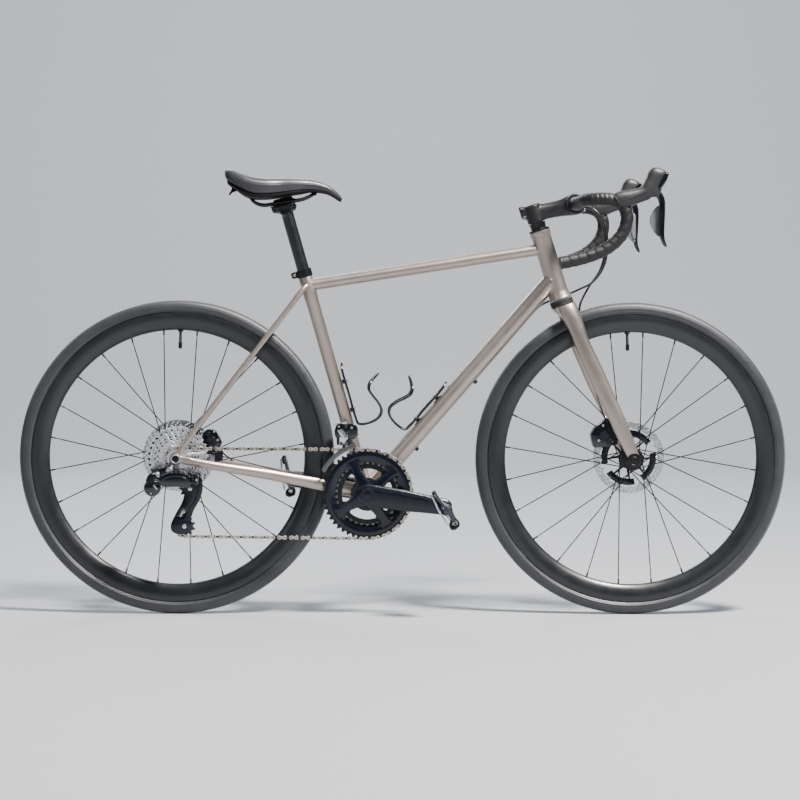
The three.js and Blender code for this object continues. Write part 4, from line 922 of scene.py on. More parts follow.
crown_in = turned([(12.0, -18), (19.0, -14), (24.0, -7), (25.5, -1.4), (25.0, -0.3)], steer_at(CROWN_TOP),
                  STEER_AXIS, 48)
crown_bridge = skin([oval(p, a, b, (1, 0, 0), (0, 0, 1), 32, 2.4) for p, a, b in (
    ((359, -30, 652), 14, 12), ((356, -15, 664), 18.5, 17), ((354, 0, 667), 20, 18),
    ((356, 15, 664), 18.5, 17),
    ((359, 30, 652), 14, 12))])
fork = piece("fork_shell", Shell(fork_blade(), flipped(fork_blade()), crown_in, crown_bridge), TITANIUM,
             None,
             "fork")
fused(fork, 1.7, 9)
tyre_room = turned([(0, -23), (WHEEL_RADIUS + 1, -23), (WHEEL_RADIUS + 6, -14), (WHEEL_RADIUS + 6.5, 0),
                    (WHEEL_RADIUS + 6, 14), (WHEEL_RADIUS + 1, 23), (0, 23)], FRONT_AXLE, sides=160)
cut_with(fork, Shell(tyre_room), "tyre_room")
cut_with(fork, Shell(turned([(0, -0.4), (80, -0.4), (80, 60), (0, 60)], steer_at(CROWN_TOP), STEER_AXIS,
                            32)), "above")
creased(fork.data, 40)
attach(fork, "steering")
piece("fork_steerer", Shell(rod(steer_at(CROWN_TOP - 8), steer_at(891), 14.3, sides=40)), CARBON,
      "steering")

# A black round boss closes each blade over the axle.
ends = Shell()
for side in (-1, 1):
    ends.add(turned([(6.8, 50.6), (14.6, 50.6), (15.2, 51.4), (15.2, 58.4), (14.4, 59.5), (10.4, 59.7),
                     (9.8, 59.2),
                     (6.8, 59.2)], FRONT_AXLE, ACROSS * side, 64, closed=True))
piece("fork_ends", ends, BLACK, "steering", sharp=34)


def thru_axle(name, axle, half, body, node):
    """A thru-axle: the bar, its socket head on the left and its threaded tip on the right."""
    inside = turned([(5.9, -half - 0.6), (5.9, half + 0.4)], axle, sides=32)
    head = turned([(4.0, half + 0.2), (8.8, half + 0.2), (9.0, half + 0.6), (9.0, half + 2.0),
                   (8.2, half + 2.9),
                   (4.2, half + 2.9), (3.4, half + 1.0), (3.4, half - 3)], axle, sides=40)
    tip = turned([(7.2, -half + 6), (7.2, -half - 1.0), (6.4, -half - 1.7), (3.6, -half - 1.7),
                  (3.2, -half + 3)],
                 axle, sides=40)
    piece(name, Shell(inside, head, tip), BLACK, body, node)


thru_axle("front_axle_bar", FRONT_AXLE, 58.5, "steering", "front_thru_axle")
thru_axle("rear_axle_bar", REAR_AXLE, 77.0, "frame", "rear_thru_axle")
ring = turned(ring_profile(7.6, 10.4, -79.6, -77.5, 0.5), REAR_AXLE, sides=40, closed=True)
piece("rear_axle_ring", Shell(ring), SILVER, "frame")

# Stem: one forged skin over the steerer clamp, the arm and the bar clamp, then the details.
BAR = np.array([371.0, 0, 903.0])
stem_low, stem_top = steer_at(862), steer_at(899)
stem_height = np.linalg.norm(stem_top - stem_low)
arm = [(272, 0, 881, 16, 18.5), (290, 0, 884, 15.5, 18.4), (316, 0, 889.5, 15.2, 17.4),
       (338, 0, 894.5, 17.2, 18.6),
       (356, 0, 899.5, 21, 22), (370, 0, 903, 23, 23.6), (384, 0, 905, 22.6, 20), (391, 0, 905.5, 21, 13)]
arm_rings = [oval(r[:3], r[3], r[4], (0, 1, 0), (-0.2, 0, 0.98), 40, 2.6) for r in stations(arm, 5)]
stem = piece("stem_body", Shell(
    turned([(18.6, 0.6), (19.5, 1.4), (19.5, stem_height - 1.2), (18.6, stem_height)], stem_low, STEER_AXIS,
           48),
    skin(arm_rings), turned([(21.4, -24), (22.6, -22.6), (22.6, 22.6), (21.4, 24)], BAR, sides=48),
    skin([oval((x, 0, 882.5), 11 + g, 14.5 + g, (0, 1, 0), (-0.3, 0, 0.95), 28, 3.4) for x, g in
          ((250.4, -1.4), (252.4, 0), (272, 1))])), MATTE_BLACK, None, "stem")
fused(stem, 1.1, 5)
cut_with(stem, Shell(turned([(16.2, -40), (16.2, 40)], BAR, sides=48)), "bar_room")
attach(stem, "steering")
creased(stem.data, 42)
cap = turned([(0.2, 0.9), (3.4, 0.9), (4.2, 2.0), (13.5, 2.2), (16.6, 1.6), (17.4, 0.6), (17.4, 0)],
             stem_top,
             STEER_AXIS, 48)
piece("stem_top_cap", Shell(cap), BLACK, "steering")
piece("stem_cap_bolt", Shell(bolt(stem_top + STEER_AXIS * 0.8, STEER_AXIS, 4.0, 1.6)), GREY_METAL,
      "steering")
stem_bolts = Shell()
for z in (872.0, 893.0):
    spot = np.array([256.0 - (z - 883) * 0.3, 0, z])
    stem_bolts.add(*[bolt(spot + ACROSS * side * 12.2, ACROSS * side, 3.6, 2.4) for side in (-1, 1)])
for z in (16, -13):
    stem_bolts.add(*[bolt(BAR + (18.6, y, z), (1, 0, 0), 3.0, 2.2) for y in (-15, 15)])
piece("stem_bolts", stem_bolts, SILVER, "steering")

# ------------------------------------------------------------------ hubs, rotors and calipers

ROTOR_RADIUS, ROTOR_GAP = 80.0, 2.6            # the gap is from a rotor's middle to its caliper's halves


def hub_piece(name, axle, profile, flanges, offset, body, node):
    """A turned hub shell with drilled flanges, end caps and bearing seals."""
    shell = Shell(turned(profile, axle, sides=48, closed=True))
    for i in range(SPOKE_COUNT):
        hub_end, _, cross = spoke_ends(i, offset, flanges)
        spot = axle + hub_end - ACROSS * cross * 1.7
        shell.add(turned(ring_profile(1.3, 3.4, -1.9, 1.9, 0.3), spot, ACROSS, 12, closed=True))
    piece(name, shell, BLACK, body, node, sharp=32)


hub_piece("front_hub_shell", FRONT_AXLE, [
    (6.6, -50), (9.6, -50), (10.2, -49.4), (10.2, -44), (9.4, -43.4), (9.4, -42.2), (12.2, -41.6),
    (12.6, -41),
    (12.8, -35.5), (15, -34.2), (19, -33.4), (24.0, -33.2), (24.6, -32.6), (24.6, -30.4), (24.0, -29.8),
    (19, -29.6),
    (15.5, -28.6), (13.2, -26), (11.8, -20), (11.2, -8), (11.2, 2), (12.0, 12), (13.8, 17.4), (16, 19.0),
    (19, 19.8), (24.0, 20.0), (24.6, 20.6), (24.6, 22.6), (24.0, 23.2), (19, 23.4), (16.5, 24.6),
    (15.8, 27),
    (15.8, 30.5), (17.2, 31), (17.2, 33.4), (15.6, 34), (15.6, 38.5), (13.2, 39.4), (12.4, 41.6),
    (9.4, 42.2),
    (9.4, 43.4), (10.2, 44), (10.2, 49.4), (9.6, 50), (6.6, 50)],
    FRONT_FLANGES, FRONT_SPOKE_TURN, "front_wheel", "front_hub")
hub_piece("rear_hub_shell", REAR_AXLE, [
    (6.6, -26), (14, -26), (20, -25), (26.6, -22.4), (27.2, -21.8), (27.2, -19.4), (26.6, -18.8),
    (20, -18.2),
    (17, -16.4), (15.4, -12), (14.2, -4), (13.8, 6), (14.2, 16), (15.4, 25), (17.6, 29.6), (20, 31.6),
    (25, 32.2),
    (25.6, 32.8), (25.6, 34.6), (25, 35.2), (20, 35.6), (17.2, 37), (16.2, 40), (16.2, 51), (17.4, 51.8),
    (17.4, 54.4), (15.8, 55), (15.8, 60), (13.2, 61), (12.2, 63.5), (9.6, 64.2), (9.6, 65), (10.4, 65.6),
    (10.4, 70.4), (9.8, 71), (6.6, 71)],
    REAR_FLANGES, REAR_SPOKE_TURN, "rear_wheel", "rear_hub")


def wavy(radius, depth, waves):
    """A circle whose radius ripples."""
    angle = np.arange(180) * TURN / 180
    reach = radius + depth * np.sin(waves * angle)
    return np.column_stack([reach * np.cos(angle), reach * np.sin(angle)])


def notched(radius, depth, sides, period):
    """A lock ring's edge, notched for its tool."""
    k = np.arange(sides)
    reach = radius + depth * (k % period < period / 2)
    return np.column_stack([reach * np.cos(k * TURN / sides), reach * np.sin(k * TURN / sides)])


def rotor_outline():
    """The bright track and its rows of drilled holes, from the wheel's centre."""
    holes = []
    for k in range(40):
        for radius, shift, size in ((76.0, 0, 1.5), (72.4, 3, 1.75), (68.9, 6, 1.5)):
            if k % 5 == 4 and radius > 70:
                continue
            a = math.radians(k * 9 + shift)
            holes.append(circle2(size, 12, radius * math.cos(a), radius * math.sin(a)))
    return [wavy(ROTOR_RADIUS - 0.9, 0.09, 10), wavy(65.4, 0.8, 20) * (1, -1)] + holes


ROTOR_TRACK = rotor_outline()
FIN_ANGLES = (70.0, 161.0, 250.0, 337.0)


def make_rotor(label, axle, y, body):
    """A rotor: the drilled steel track, its black spider with cooling fins, rivets and lock ring."""
    out = Shell(moved(stamped(ROTOR_TRACK, y - 0.9, y + 0.9, 0.15), axle))
    for k in range(16):                         # the silver bridges between the fins and the track
        a = math.radians(FIN_ANGLES[0] + k * 22.5)
        low = 60 * np.array([math.cos(a - 0.03), math.sin(a - 0.03)])
        high = 66.5 * np.array([math.cos(a), math.sin(a)])
        along = unit(high - low)
        wide = np.array([-along[1], along[0]]) * 2.2
        bar = rounded([low - wide, high - wide * 1.5, high + wide * 1.5, low + wide], 0.8, 2)
        out.add(moved(stamped([bar], y - 0.85, y + 0.85, 0.15), axle))
    piece(label + "_rotor_track", out, ROTOR_STEEL, body, label + "_rotor", sharp=30)
    spider, rivets, fins = Shell(), Shell(), Shell()
    hub_ring = stamped([circle2(22.5, 48), circle2(16.4, 40)], y - 1.8, y + 1.8, 0.4, 2)
    spider.add(moved(hub_ring, axle))
    for fin in FIN_ANGLES:
        for lean in (-1, 1):
            root, tip = math.radians(fin + lean * 12), math.radians(fin + lean * 24)
            a = 20.5 * np.array([math.cos(root), math.sin(root)])
            b = 62 * np.array([math.cos(tip), math.sin(tip)])
            along = unit(b - a)
            wide = np.array([-along[1], along[0]])
            arm = rounded([a - wide * 3.0, b - wide * 1.5, b + along * 1.4, b + wide * 1.5, a + wide * 3.0],
                          1.0, 3)
            spider.add(moved(stamped([arm], y - 1.5, y + 1.5, 0.5, 2), axle))
            spot = axle + np.array([b[0] * 0.995, 0, b[1] * 0.995])
            for side in (-1, 1):
                rivets.add(turned([(0.2, 2.1), (1.4, 2.0), (2.1, 1.5), (2.3, 0.8)], spot + ACROSS * y,
                                  ACROSS * side, 16))
        band = slot2(47.0, 61.5, fin - 34, fin + 34, 30)
        fins.add(moved(stamped([band], y - 1.6, y + 1.6, 0.5, 2), axle))
    piece(label + "_rotor_spider", spider, BLACK, body, sharp=32)
    piece(label + "_rotor_fins", fins, SPIDER, body, sharp=32)
    piece(label + "_rotor_rivets", rivets, SILVER, body)
    ring = stamped([notched(18.6, 0.7, 96, 4), circle2(13.4, 36)], y + 1.8, y + 5.2, 0.3)
    piece(label + "_rotor_lock_ring", Shell(moved(ring, axle)), BLACK, body, sharp=30)


make_rotor("front", FRONT_AXLE, 35.0, "front_wheel")
make_rotor("rear", REAR_AXLE, 56.0, "rear_wheel")


def caliper(label, body, node, outline, y0, y1, rotor_y, ribs, bolts, banjo, banjo_axis, pad_at):
    """A caliper: two halves either side of the rotor, pads, bolts and the hose fitting."""
    solid, shiny = Shell(), Shell()
    for low, high in ((y0, rotor_y - ROTOR_GAP), (rotor_y + ROTOR_GAP, y1)):
        solid.add(stamped([rounded(outline, 4, 4)], low, high, 2.6, 3))
    for (x, z), radius, deep in ribs:
        for side, edge in ((1, y1), (-1, y0)):
            solid.add(turned([(0.1, deep), (radius - 1.2, deep), (radius, deep - 1.0), (radius + 0.8, -2)],
                             (x, edge, z), ACROSS * side, 36))
    for x, z, radius in bolts:
        shiny.add(bolt((x, y1 - 0.4, z), ACROSS, radius, 2.0))
        shiny.add(bolt((x, y0 + 0.4, z), -ACROSS, radius, 2.0))
    piece(label + "_caliper_body", solid, GLOSS, body, node, sharp=34)
    pad = rounded(np.array([(-13, -8), (13, -8), (13, 8), (-13, 8)]) + pad_at, 3)
    pads = Shell()
    for low, high in ((-2.1, -1.0), (1.0, 2.1)):
        pads.add(stamped([pad], rotor_y + low, rotor_y + high, 0.2))
    piece(label + "_brake_pads", pads, CERAMIC, body)
    banjo = np.asarray(banjo, float)
    shiny.add(turned(ring_profile(2.2, 5.4, -2.2, 2.2, 0.5), banjo, banjo_axis, 28, closed=True))
    shiny.add(bolt(banjo + unit(banjo_axis) * 2.0, banjo_axis, 3.8, 3.0))
    piece(label + "_caliper_bolts", shiny, SILVER, body)


caliper("front", "steering", "front_brake_caliper",
        [(447, 434), (455, 427), (462, 408), (472, 389), (474, 373), (441, 367), (420, 366), (415, 381),
         (413, 396), (423, 413), (436, 420)],
        24.5, 57.5, 35.0, [((443, 392), 11.5, 1.2), ((456, 379), 8.0, 0.8)],
        [(431, 382, 3.0), (440, 415, 2.6), (462, 380, 2.4)], (449, 46, 430), (-0.45, 0.2, 0.87), (444, 386))
caliper("rear", "frame", "rear_brake_caliper",
        [(-448, 391), (-446, 368), (-443, 350), (-412, 350), (-403, 374), (-418, 401), (-436, 404)],
        42.5, 73.5, 56.0, [((-426, 377), 11.5, 1.2), ((-434, 392), 6.0, 0.8)],
        [(-413, 379, 3.0), (-437, 360, 2.6), (-421, 397, 2.4)], (-414, 73.6, 369), (0, 1, 0), (-433, 372))
foot = Shell(stamped([rounded([(-447, 352), (-445, 334), (-402, 327), (-402, 350), (-412, 356)], 4)], 61.5,
                     73, 1.2, 2))
for x, z in ((-439, 337), (-411, 331)):
    foot.add(bolt((x, 67.5, z - 14), (0, 0, -1), 3.2, 3.0))
piece("rear_caliper_foot", foot, BLACK, "frame", sharp=34)
HOSE_RADIUS = 2.5
stub = spline([(-414, 70, 369), (-408, 68, 360), (-402, 66, 351), (-388, 63, 339), (-373, 60.5, 327),
               (-366, 58, 320)], 6)
piece("rear_caliper_hose", Shell(sweep(stub, HOSE_RADIUS, 14)), HOSE, "frame")

# ------------------------------------------------------------------ handlebar, hoods, levers and hoses

BAR_HALF = [(371, 0, 903), (371, 60, 903), (371, 150, 903), (375, 180, 903.5), (389, 197, 904.5),
            (410, 203, 905),
            (432, 205, 902.5), (449, 205, 893), (457.5, 205, 877), (458.5, 205, 857), (450, 205, 833),
            (432, 205.5, 812), (407, 206, 795), (371, 207, 781), (320, 208, 769)]
PIVOT = np.array([521.0, 205.0, 919.0])
TAPE_FROM = 44.0                                # across, where the wrap begins beside the clamp


def even(path, step):
    """The path again at equal steps along its length."""
    path = np.asarray(path, float)
    run = np.concatenate([[0], np.cumsum(np.linalg.norm(np.diff(path[:, :3], axis=0), axis=1))])
    at = np.linspace(0, run[-1], max(2, int(run[-1] / step)))
    return np.column_stack([np.interp(at, run, path[:, k]) for k in range(path.shape[1])]), at


TIGHT_PITCH, LOOSE_PITCH, TIGHT_RUN = 9.0, 19.0, 240.0


def wrapped(path, radius, ridge, sides=36, way=1):
    """Tape wound round a tube, each turn on the edge of the last: tight on the tops, wider down the drops."""
    path, run = even(path, TIGHT_PITCH / 8)
    drop = 1000.0
    turns = np.interp(run, (0, TIGHT_RUN, TIGHT_RUN + drop),
                      (0, TIGHT_RUN / TIGHT_PITCH, TIGHT_RUN / TIGHT_PITCH + drop / LOOSE_PITCH))
    tangent = np.gradient(path, axis=0)
    tangent /= np.linalg.norm(tangent, axis=1)[:, None]
    angle = np.arange(sides) * TURN / sides
    first, _ = basis(tangent[0])
    rings = []
    for point, along, s, turn in zip(path, tangent, run, turns):
        first = unit(first - along * (first @ along))
        side = np.cross(along, first)
        part = (turn - way * angle / TURN + 0.06 * np.sin(angle * 2 + s / 37)) % 1.0
        lift = np.where(part < 0.84, 0.15 + 0.85 * np.sin(part / 0.84 * math.pi / 2),
                        (1 - part) / 0.16 * 0.85)
        lift = lift * ridge * (1 + 0.22 * np.sin(s / 23 + angle))
        reach = (radius + lift)[:, None]
        rings.append(point + (np.outer(np.cos(angle), side) + np.outer(np.sin(angle), first)) * reach)
    return skin(rings)


bar_path = spline(BAR_HALF, 8)
bulge = [(-52, 12), (-46, 12.6), (-38, 15.2), (-32, 15.9), (0, 15.9), (32, 15.9), (38, 15.2), (46, 12.6),
         (52, 12)]
clamp_rows = np.array([(BAR[0], y, BAR[2], r) for y, r in spline(bulge, 5)])
bar = Shell(sweep(clamp_rows[:, :3], clamp_rows[:, 3], 40, up=(0, 0, 1)))
for side in (1, -1):
    rest = bar_path[bar_path[:, 1] >= 50] * (1, side, 1)
    bar.add(sweep(rest, 12.0, 28))
piece("handlebar_tube", bar, MATTE_BLACK, "steering", "handlebar")

tape_path = spline([(371, TAPE_FROM, 903), (371, 80, 903), (371, 110, 903)] + BAR_HALF[2:-1] + [(322, 208,
        769.5)], 10)
for name, side in (("left", 1), ("right", -1)):
    path = tape_path * (1, side, 1)
    piece("bar_tape_wrap_" + name, Shell(wrapped(path, 12.9, 0.9, way=side)), TAPE, "steering",
          "bar_tape_" + name, sharp=50)
    start = np.array([371, side * (TAPE_FROM - 1), 903.0])
    band = turned([(12.2, -9), (13.4, -9), (13.6, -8.6), (13.6, 5.6), (13.4, 6), (12.2, 6)], start,
                  ACROSS * side, 40,
                  closed=True)
    end, back = path[-1], unit(path[-1] - path[-8])
    plug = turned([(10.6, -8), (10.8, 0), (13.3, 0.3), (13.9, 1.2), (13.9, 3.0), (13.2, 4.4), (10.4, 5.3),
                   (9.8, 5.2),
                   (9.4, 4.6), (4, 4.9), (0.1, 5.0)], end, back, 40)
    piece("bar_plug_" + name, Shell(plug, band), PLASTIC, "steering")

# Hood: rings along its spine; x, z, half height in the plane, half width across, direction in degrees.
HOOD_RINGS = [(436, 898, 14.6, 14.2, 34), (440, 900, 18.6, 17.0, 33), (450, 903.5, 19.8, 18.0, 27),
              (462, 906.5, 18.2, 17.8, 20), (474, 910, 16.6, 16.8, 18), (486, 913.6, 15.6, 16.0, 19),
              (498, 919.0, 16.4, 15.6, 30), (507, 928.5, 17.6, 15.6, 52), (513.6, 939.5, 18.0, 15.2, 64),
              (518.6, 949.5, 18.6, 14.8, 70), (522.6, 958.5, 19.2, 14.2, 73),
              (525.0, 964.0, 17.4, 12.6, 74),
              (526.8, 968.4, 13.0, 9.0, 74), (527.4, 970.6, 6, 4.6, 74)]


def hood_skin():
    """The left hood's body, from the bar up over its horn."""
    rings = []
    for x, z, high, wide, way in stations([(r[0], r[1], 0) + r[2:] for r in HOOD_RINGS], 4)[:,
            [0, 1, 3, 4, 5]]:
        a = math.radians(way)
        up = np.array([-math.sin(a), 0, math.cos(a)])
        rings.append(oval((x, PIVOT[1], z), wide, high, ACROSS, up, 40, 2.5))
    return skin(rings)


def lever_blade():
    """The left brake lever, from its pivot to the curled tip."""
    rows = stations([(517, 205, 921, 6.8, 6.0), (525, 205, 916, 7.2, 7.2), (531.4, 205, 905, 7.6, 7.2),
                     (533.6, 205, 890, 8.0, 6.2), (533.8, 205.6, 872, 8.4, 5.8),
                     (533.2, 206.4, 850, 8.4, 5.5),
                     (533.0, 207.2, 832, 8.0, 5.2), (535.4, 207.6, 818, 7.0, 4.4),
                     (540.0, 207.6, 808.5, 5.4, 3.4),
                     (543.0, 207.6, 804.6, 2.6, 1.6)], 7)
    tangent = np.gradient(rows[:, :3], axis=0)
    rings = []
    for row, along in zip(rows, tangent):
        front = unit(np.cross(ACROSS, unit(along)))
        rings.append(oval(row[:3], row[3], row[4], ACROSS, front, 32, 2.6))
    return skin(rings)


def paddle():
    """The left shift paddle: a thin leaf with a raised rib, bowed along its height."""
    outline = rounded([(532, 893), (524, 892), (515, 882), (508.5, 868), (509.5, 851), (516, 838),
                       (526.5, 826), (532, 828),
                       (530, 846), (530, 866)], 6, 5)
    face = stamped([outline], 195.4, 198.6, 1.4, 3)
    rib = rounded([(532, 890), (524, 885), (520.5, 868), (521, 850), (526, 834), (532, 834)], 4, 4)
    dish = stamped([rib], 193.6, 197.0, 1.2, 3)
    verts = np.vstack([face[0], dish[0]])
    faces = face[1] + [tuple(i + len(face[0]) for i in f) for f in dish[1]]
    verts[:, 1] += ((verts[:, 2] - 857) / 30) ** 2 * 1.6          # bowed outward from its middle
    return verts, faces


def insert():
    """The glossy nose under the horn that carries the lever's pivot."""
    nose = stamped([rounded([(512, 912), (519, 908), (527, 913), (531, 926), (538.4, 944), (537, 950),
                             (526, 936)], 3.4,
                            4)], PIVOT[1] - 11.4, PIVOT[1] + 11.4, 3.0, 4)
    front = stamped([rounded([(524, 921), (532, 929), (541.6, 944), (546, 957), (543.4, 962.6),
                              (536, 960.4),
                              (527.6, 945), (521, 931)], 4, 4)], PIVOT[1] - 14.9, PIVOT[1] + 14.9, 4.2, 5)
    return [nose, front]


def chin():
    """The rubber under the horn, which runs forward to the lever's pivot."""
    return stamped([rounded([(490, 905), (521, 911), (528, 918), (528, 930), (510, 936), (490, 925)], 5,
                            4)],
                   PIVOT[1] - 13, PIVOT[1] + 13, 4.0, 4)


for name, way in (("left", 1), ("right", -1)):
    def sided(shape):
        """The shape on this hood's side."""
        return shape if way > 0 else flipped(shape)

    cover = piece("hood_cover_" + name, Shell(sided(hood_skin())), HOOD_RUBBER, None,
                  "hood_" + name)
    fused(cover, 1.15, 4)
    room = Shell(sided(stamped([[(519, 940), (560, 930), (560, 880), (508, 880), (507, 921)]],
                               PIVOT[1] - 9.4, PIVOT[1] + 9.4, 0.1)))
    cut_with(cover, room, "lever_room")
    creased(cover.data, 46)
    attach(cover, "steering")
    lip = sweep(oval((438.4, PIVOT[1], 899.2), 16.2, 17.8, ACROSS, (-0.55, 0, 0.84), 40, 2.4), 1.3, 10,
                closed=True)
    cheeks = Shell(sided(lip), sided(chin()))
    for edge in (-1, 1):
        arc = [(452, 18.0), (463, 17.8), (478, 16.8), (492, 15.9), (503, 15.6)]
        line = spline([(x, PIVOT[1] + edge * (w + 0.1), 899 + (x - 447) * 0.42) for x, w in arc], 6)
        cheeks.add(sided(sweep(line, np.interp(np.arange(len(line)), [0, 4, len(line) - 5, len(line) - 1],
                                               [0.1, 0.75, 0.75, 0.1]), 10)))
    piece("hood_lips_" + name, cheeks, HOOD_RUBBER, "steering")
    piece("hood_insert_" + name, Shell(*[sided(s) for s in insert()]), GLOSS, "steering",
          sharp=34)
    tie = Shell()
    for edge in (-1, 1):
        tie.add(sided(turned([(2.9, 8.6), (2.9, 11.2), (2.4, 12.0), (1.3, 12.1), (1.1, 11.2)],
                             PIVOT, ACROSS * edge, 24)))
    piece("lever_pin_" + name, tie, SILVER, "steering")
    piece("lever_blade_" + name, Shell(sided(lever_blade())), GLOSS, "brake_lever_" + name,
          "brake_lever_" + name, sharp=50)
    piece("paddle_blade_" + name, Shell(sided(paddle())), PADDLE_GREY, "shift_paddle_" + name,
          "shift_paddle_" + name, sharp=34)

FRONT_HOSE = [(372, 74, 893), (387, 65, 894), (402, 57, 898), (419, 48, 891), (434, 43, 866),
              (444, 42, 831),
              (441, 42, 787), (431, 42, 757), (412, 42, 729), (399, 43, 706), (390, 44, 686),
              (386, 44, 666)]
REAR_HOSE = [(372, 62, 892), (387, 52, 894), (402, 44, 898), (421, 37, 891), (437, 34, 866), (447, 33, 831),
             (445, 33, 787),
             (435, 33, 758), (414, 34, 732), (388, 35, 718), (352, 34, 702), (318, 30, 690), (300, 25, 681),
             (290, 20.5, 672), (284, 16.5, 666)]
piece("front_hose_run", Shell(sweep(spline(FRONT_HOSE, 8), HOSE_RADIUS, 18)), HOSE, "steering",
      "front_brake_hose")
rear_run = piece("rear_hose_run", Shell(sweep(spline(REAR_HOSE, 8), HOSE_RADIUS, 18)), HOSE, None,
                 "rear_brake_hose")
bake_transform(rear_run)
collar = turned(ring_profile(2.4, 4.2, -3.4, 3.4, 0.5), (386, 44, 672), (0.15, 0, 1), 24, closed=True)
piece("front_hose_collar", Shell(collar), BLACK, "steering")

# ------------------------------------------------------------------ saddle, post and bottle cages

# Tail to nose: x, half width, top, lower edge of the cover.
SADDLE = [(-396.5, 38, 971.5, 958), (-393.5, 52, 972.6, 950), (-385, 61, 972.4, 943.5),
          (-374, 66.5, 969, 936.5), (-360, 71, 963.6, 928.5),
          (-340, 73.6, 958, 919.6), (-318, 72.6, 954.8, 916.6), (-296, 68.5, 953.8, 917.6),
          (-274, 59.5, 953.8, 920.8),
          (-252, 46, 953.6, 924.6), (-230, 34.5, 952.8, 927.6), (-208, 28, 950.8, 928.2),
          (-188, 24.4, 946.6, 926.8),
          (-172, 22, 940.2, 923.4), (-160, 19.6, 932.6, 917.4), (-150, 16.8, 923.8, 910.8),
          (-143, 12.6, 915.4, 907.0),
          (-139.4, 6.8, 910.6, 906.2)]


def saddle_section(x, half, top, edge, sides=72):
    """Half crown with a shallow channel, a rolled shoulder, a tucked lower edge and a closed underside."""
    high = top - edge
    channel = 1.9 * math.exp(-((x + 290) / 62) ** 2)
    right = []
    for k in range(sides // 2 + 1):
        part = k / (sides // 2)
        if part < 0.72:
            a = part / 0.72 * 1.9
            if a < math.pi / 2:
                across = half * math.sin(a) ** 0.9
            else:
                across = half * (1 - 0.05 * (a - math.pi / 2))
            drop = 1 - math.cos(min(a, math.pi / 2)) ** 0.8 if a < math.pi / 2 else 1.0
            z = top - high * 0.62 * drop ** 1.9 - high * max(0.0, a - math.pi / 2) * 1.05
            z -= channel * math.exp(-(across / 11) ** 2) * (half > 30)
        else:
            t = (part - 0.72) / 0.28
            across = half * (1 - 0.05 * 0.33) * (1 - 0.92 * t ** 0.9)
            z = edge + high * 0.035 + min(high * 0.34, 7.0) * math.sin(t * math.pi / 2) * min(1, t * 2)
        right.append((across, z))
    left = [(-w, z) for w, z in right[1:-1]][::-1]
    return [(x, w, z) for w, z in right + left]


def make_saddle():
    """The padded cover, grown into one soft skin."""
    rows = stations([(r[0], 0, 0) + r[1:] for r in SADDLE], 5)[:, [0, 3, 4, 5]]
    cover = piece("saddle_padding", Shell(skin([np.array(saddle_section(*row)) for row in rows])), LEATHER,
                  None,
                  "saddle", sharp=70)
    remesh = cover.modifiers.new("even", "REMESH")
    remesh.mode, remesh.voxel_size, remesh.use_smooth_shade = "VOXEL", 0.0021, True
    soften = cover.modifiers.new("soften", "SMOOTH")
    soften.factor, soften.iterations = 0.5, 10
    settle(cover)
    return cover


saddle = make_saddle()
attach(saddle, "frame")

# The hard shell under the cover, the seam piping along the flank, rails and clamp.
shell_rows = []
for i, (x, half, _, edge) in enumerate(SADDLE[1:-1]):
    depth = 9.0 if i < 5 else 7.0 if i < 10 else 3.6
    shell_rows.append((x + (3 if i < 3 else 0), 0, 0, half * 0.965 - 0.8, edge + 1.5, edge - depth))
shell_rows = stations(shell_rows, 4)[:, [0, 3, 4, 5]]
rings = [oval((x, 0, (top + low) / 2), half, (top - low) / 2, ACROSS, (0, 0, 1), 44, 5) for x, half, top,
         low in shell_rows]
tail_tab = stamped([rounded([(-381, 936), (-374, 932), (-372, 926), (-380, 924), (-387, 916.5),
                             (-388.5, 919), (-383, 928)], 1.2, 3)], -9, 9, 1.6, 3)
piece("saddle_shell", Shell(skin(rings), tail_tab), SHELL, "frame", sharp=34)
piping = Shell()
for side in (1, -1):
    line = spline([(x, side * (half * 0.985 + 0.1), edge + (top - edge) * 0.53) for x, half, top,
                   edge in SADDLE[2:15]], 6)
    piping.add(sweep(line, np.interp(np.arange(len(line)), [0, 8, len(line) - 9, len(line) - 1],
                                     [0.2, 0.95, 0.95, 0.2]), 10))
piece("saddle_piping", piping, LEATHER, "frame")
RAIL = [(-346, -19, 930), (-343, -19, 921), (-338, -19, 908), (-326, -20, 899), (-312, -22, 896),
        (-298, -22, 897.5),
        (-252, -22, 905), (-226, -20, 910), (-208, -14, 918), (-202, 0, 921)]
rail_path = spline(RAIL + [(x, -y, z) for x, y, z in RAIL[-2::-1]], 8)
rails = Shell(sweep(rail_path, 3.5, 20))
for side in (-1, 1):
    rails.add(skin([oval((x, side * 19, z), a, a, (1, 0, 0), ACROSS, 24, 3) for x, z,
                    a in ((-345, 919, 6.2), (-346, 924, 7),
                                                                                       (-347, 930, 7))]))
rails.add(skin([oval((-202, 0, z), a, 12, (1, 0, 0), ACROSS, 28, 3.4) for z,
                a in ((918, 5), (922, 6.4), (927, 6.6))]))
piece("saddle_rail_bar", rails, BLACK, "frame", "saddle_rails")

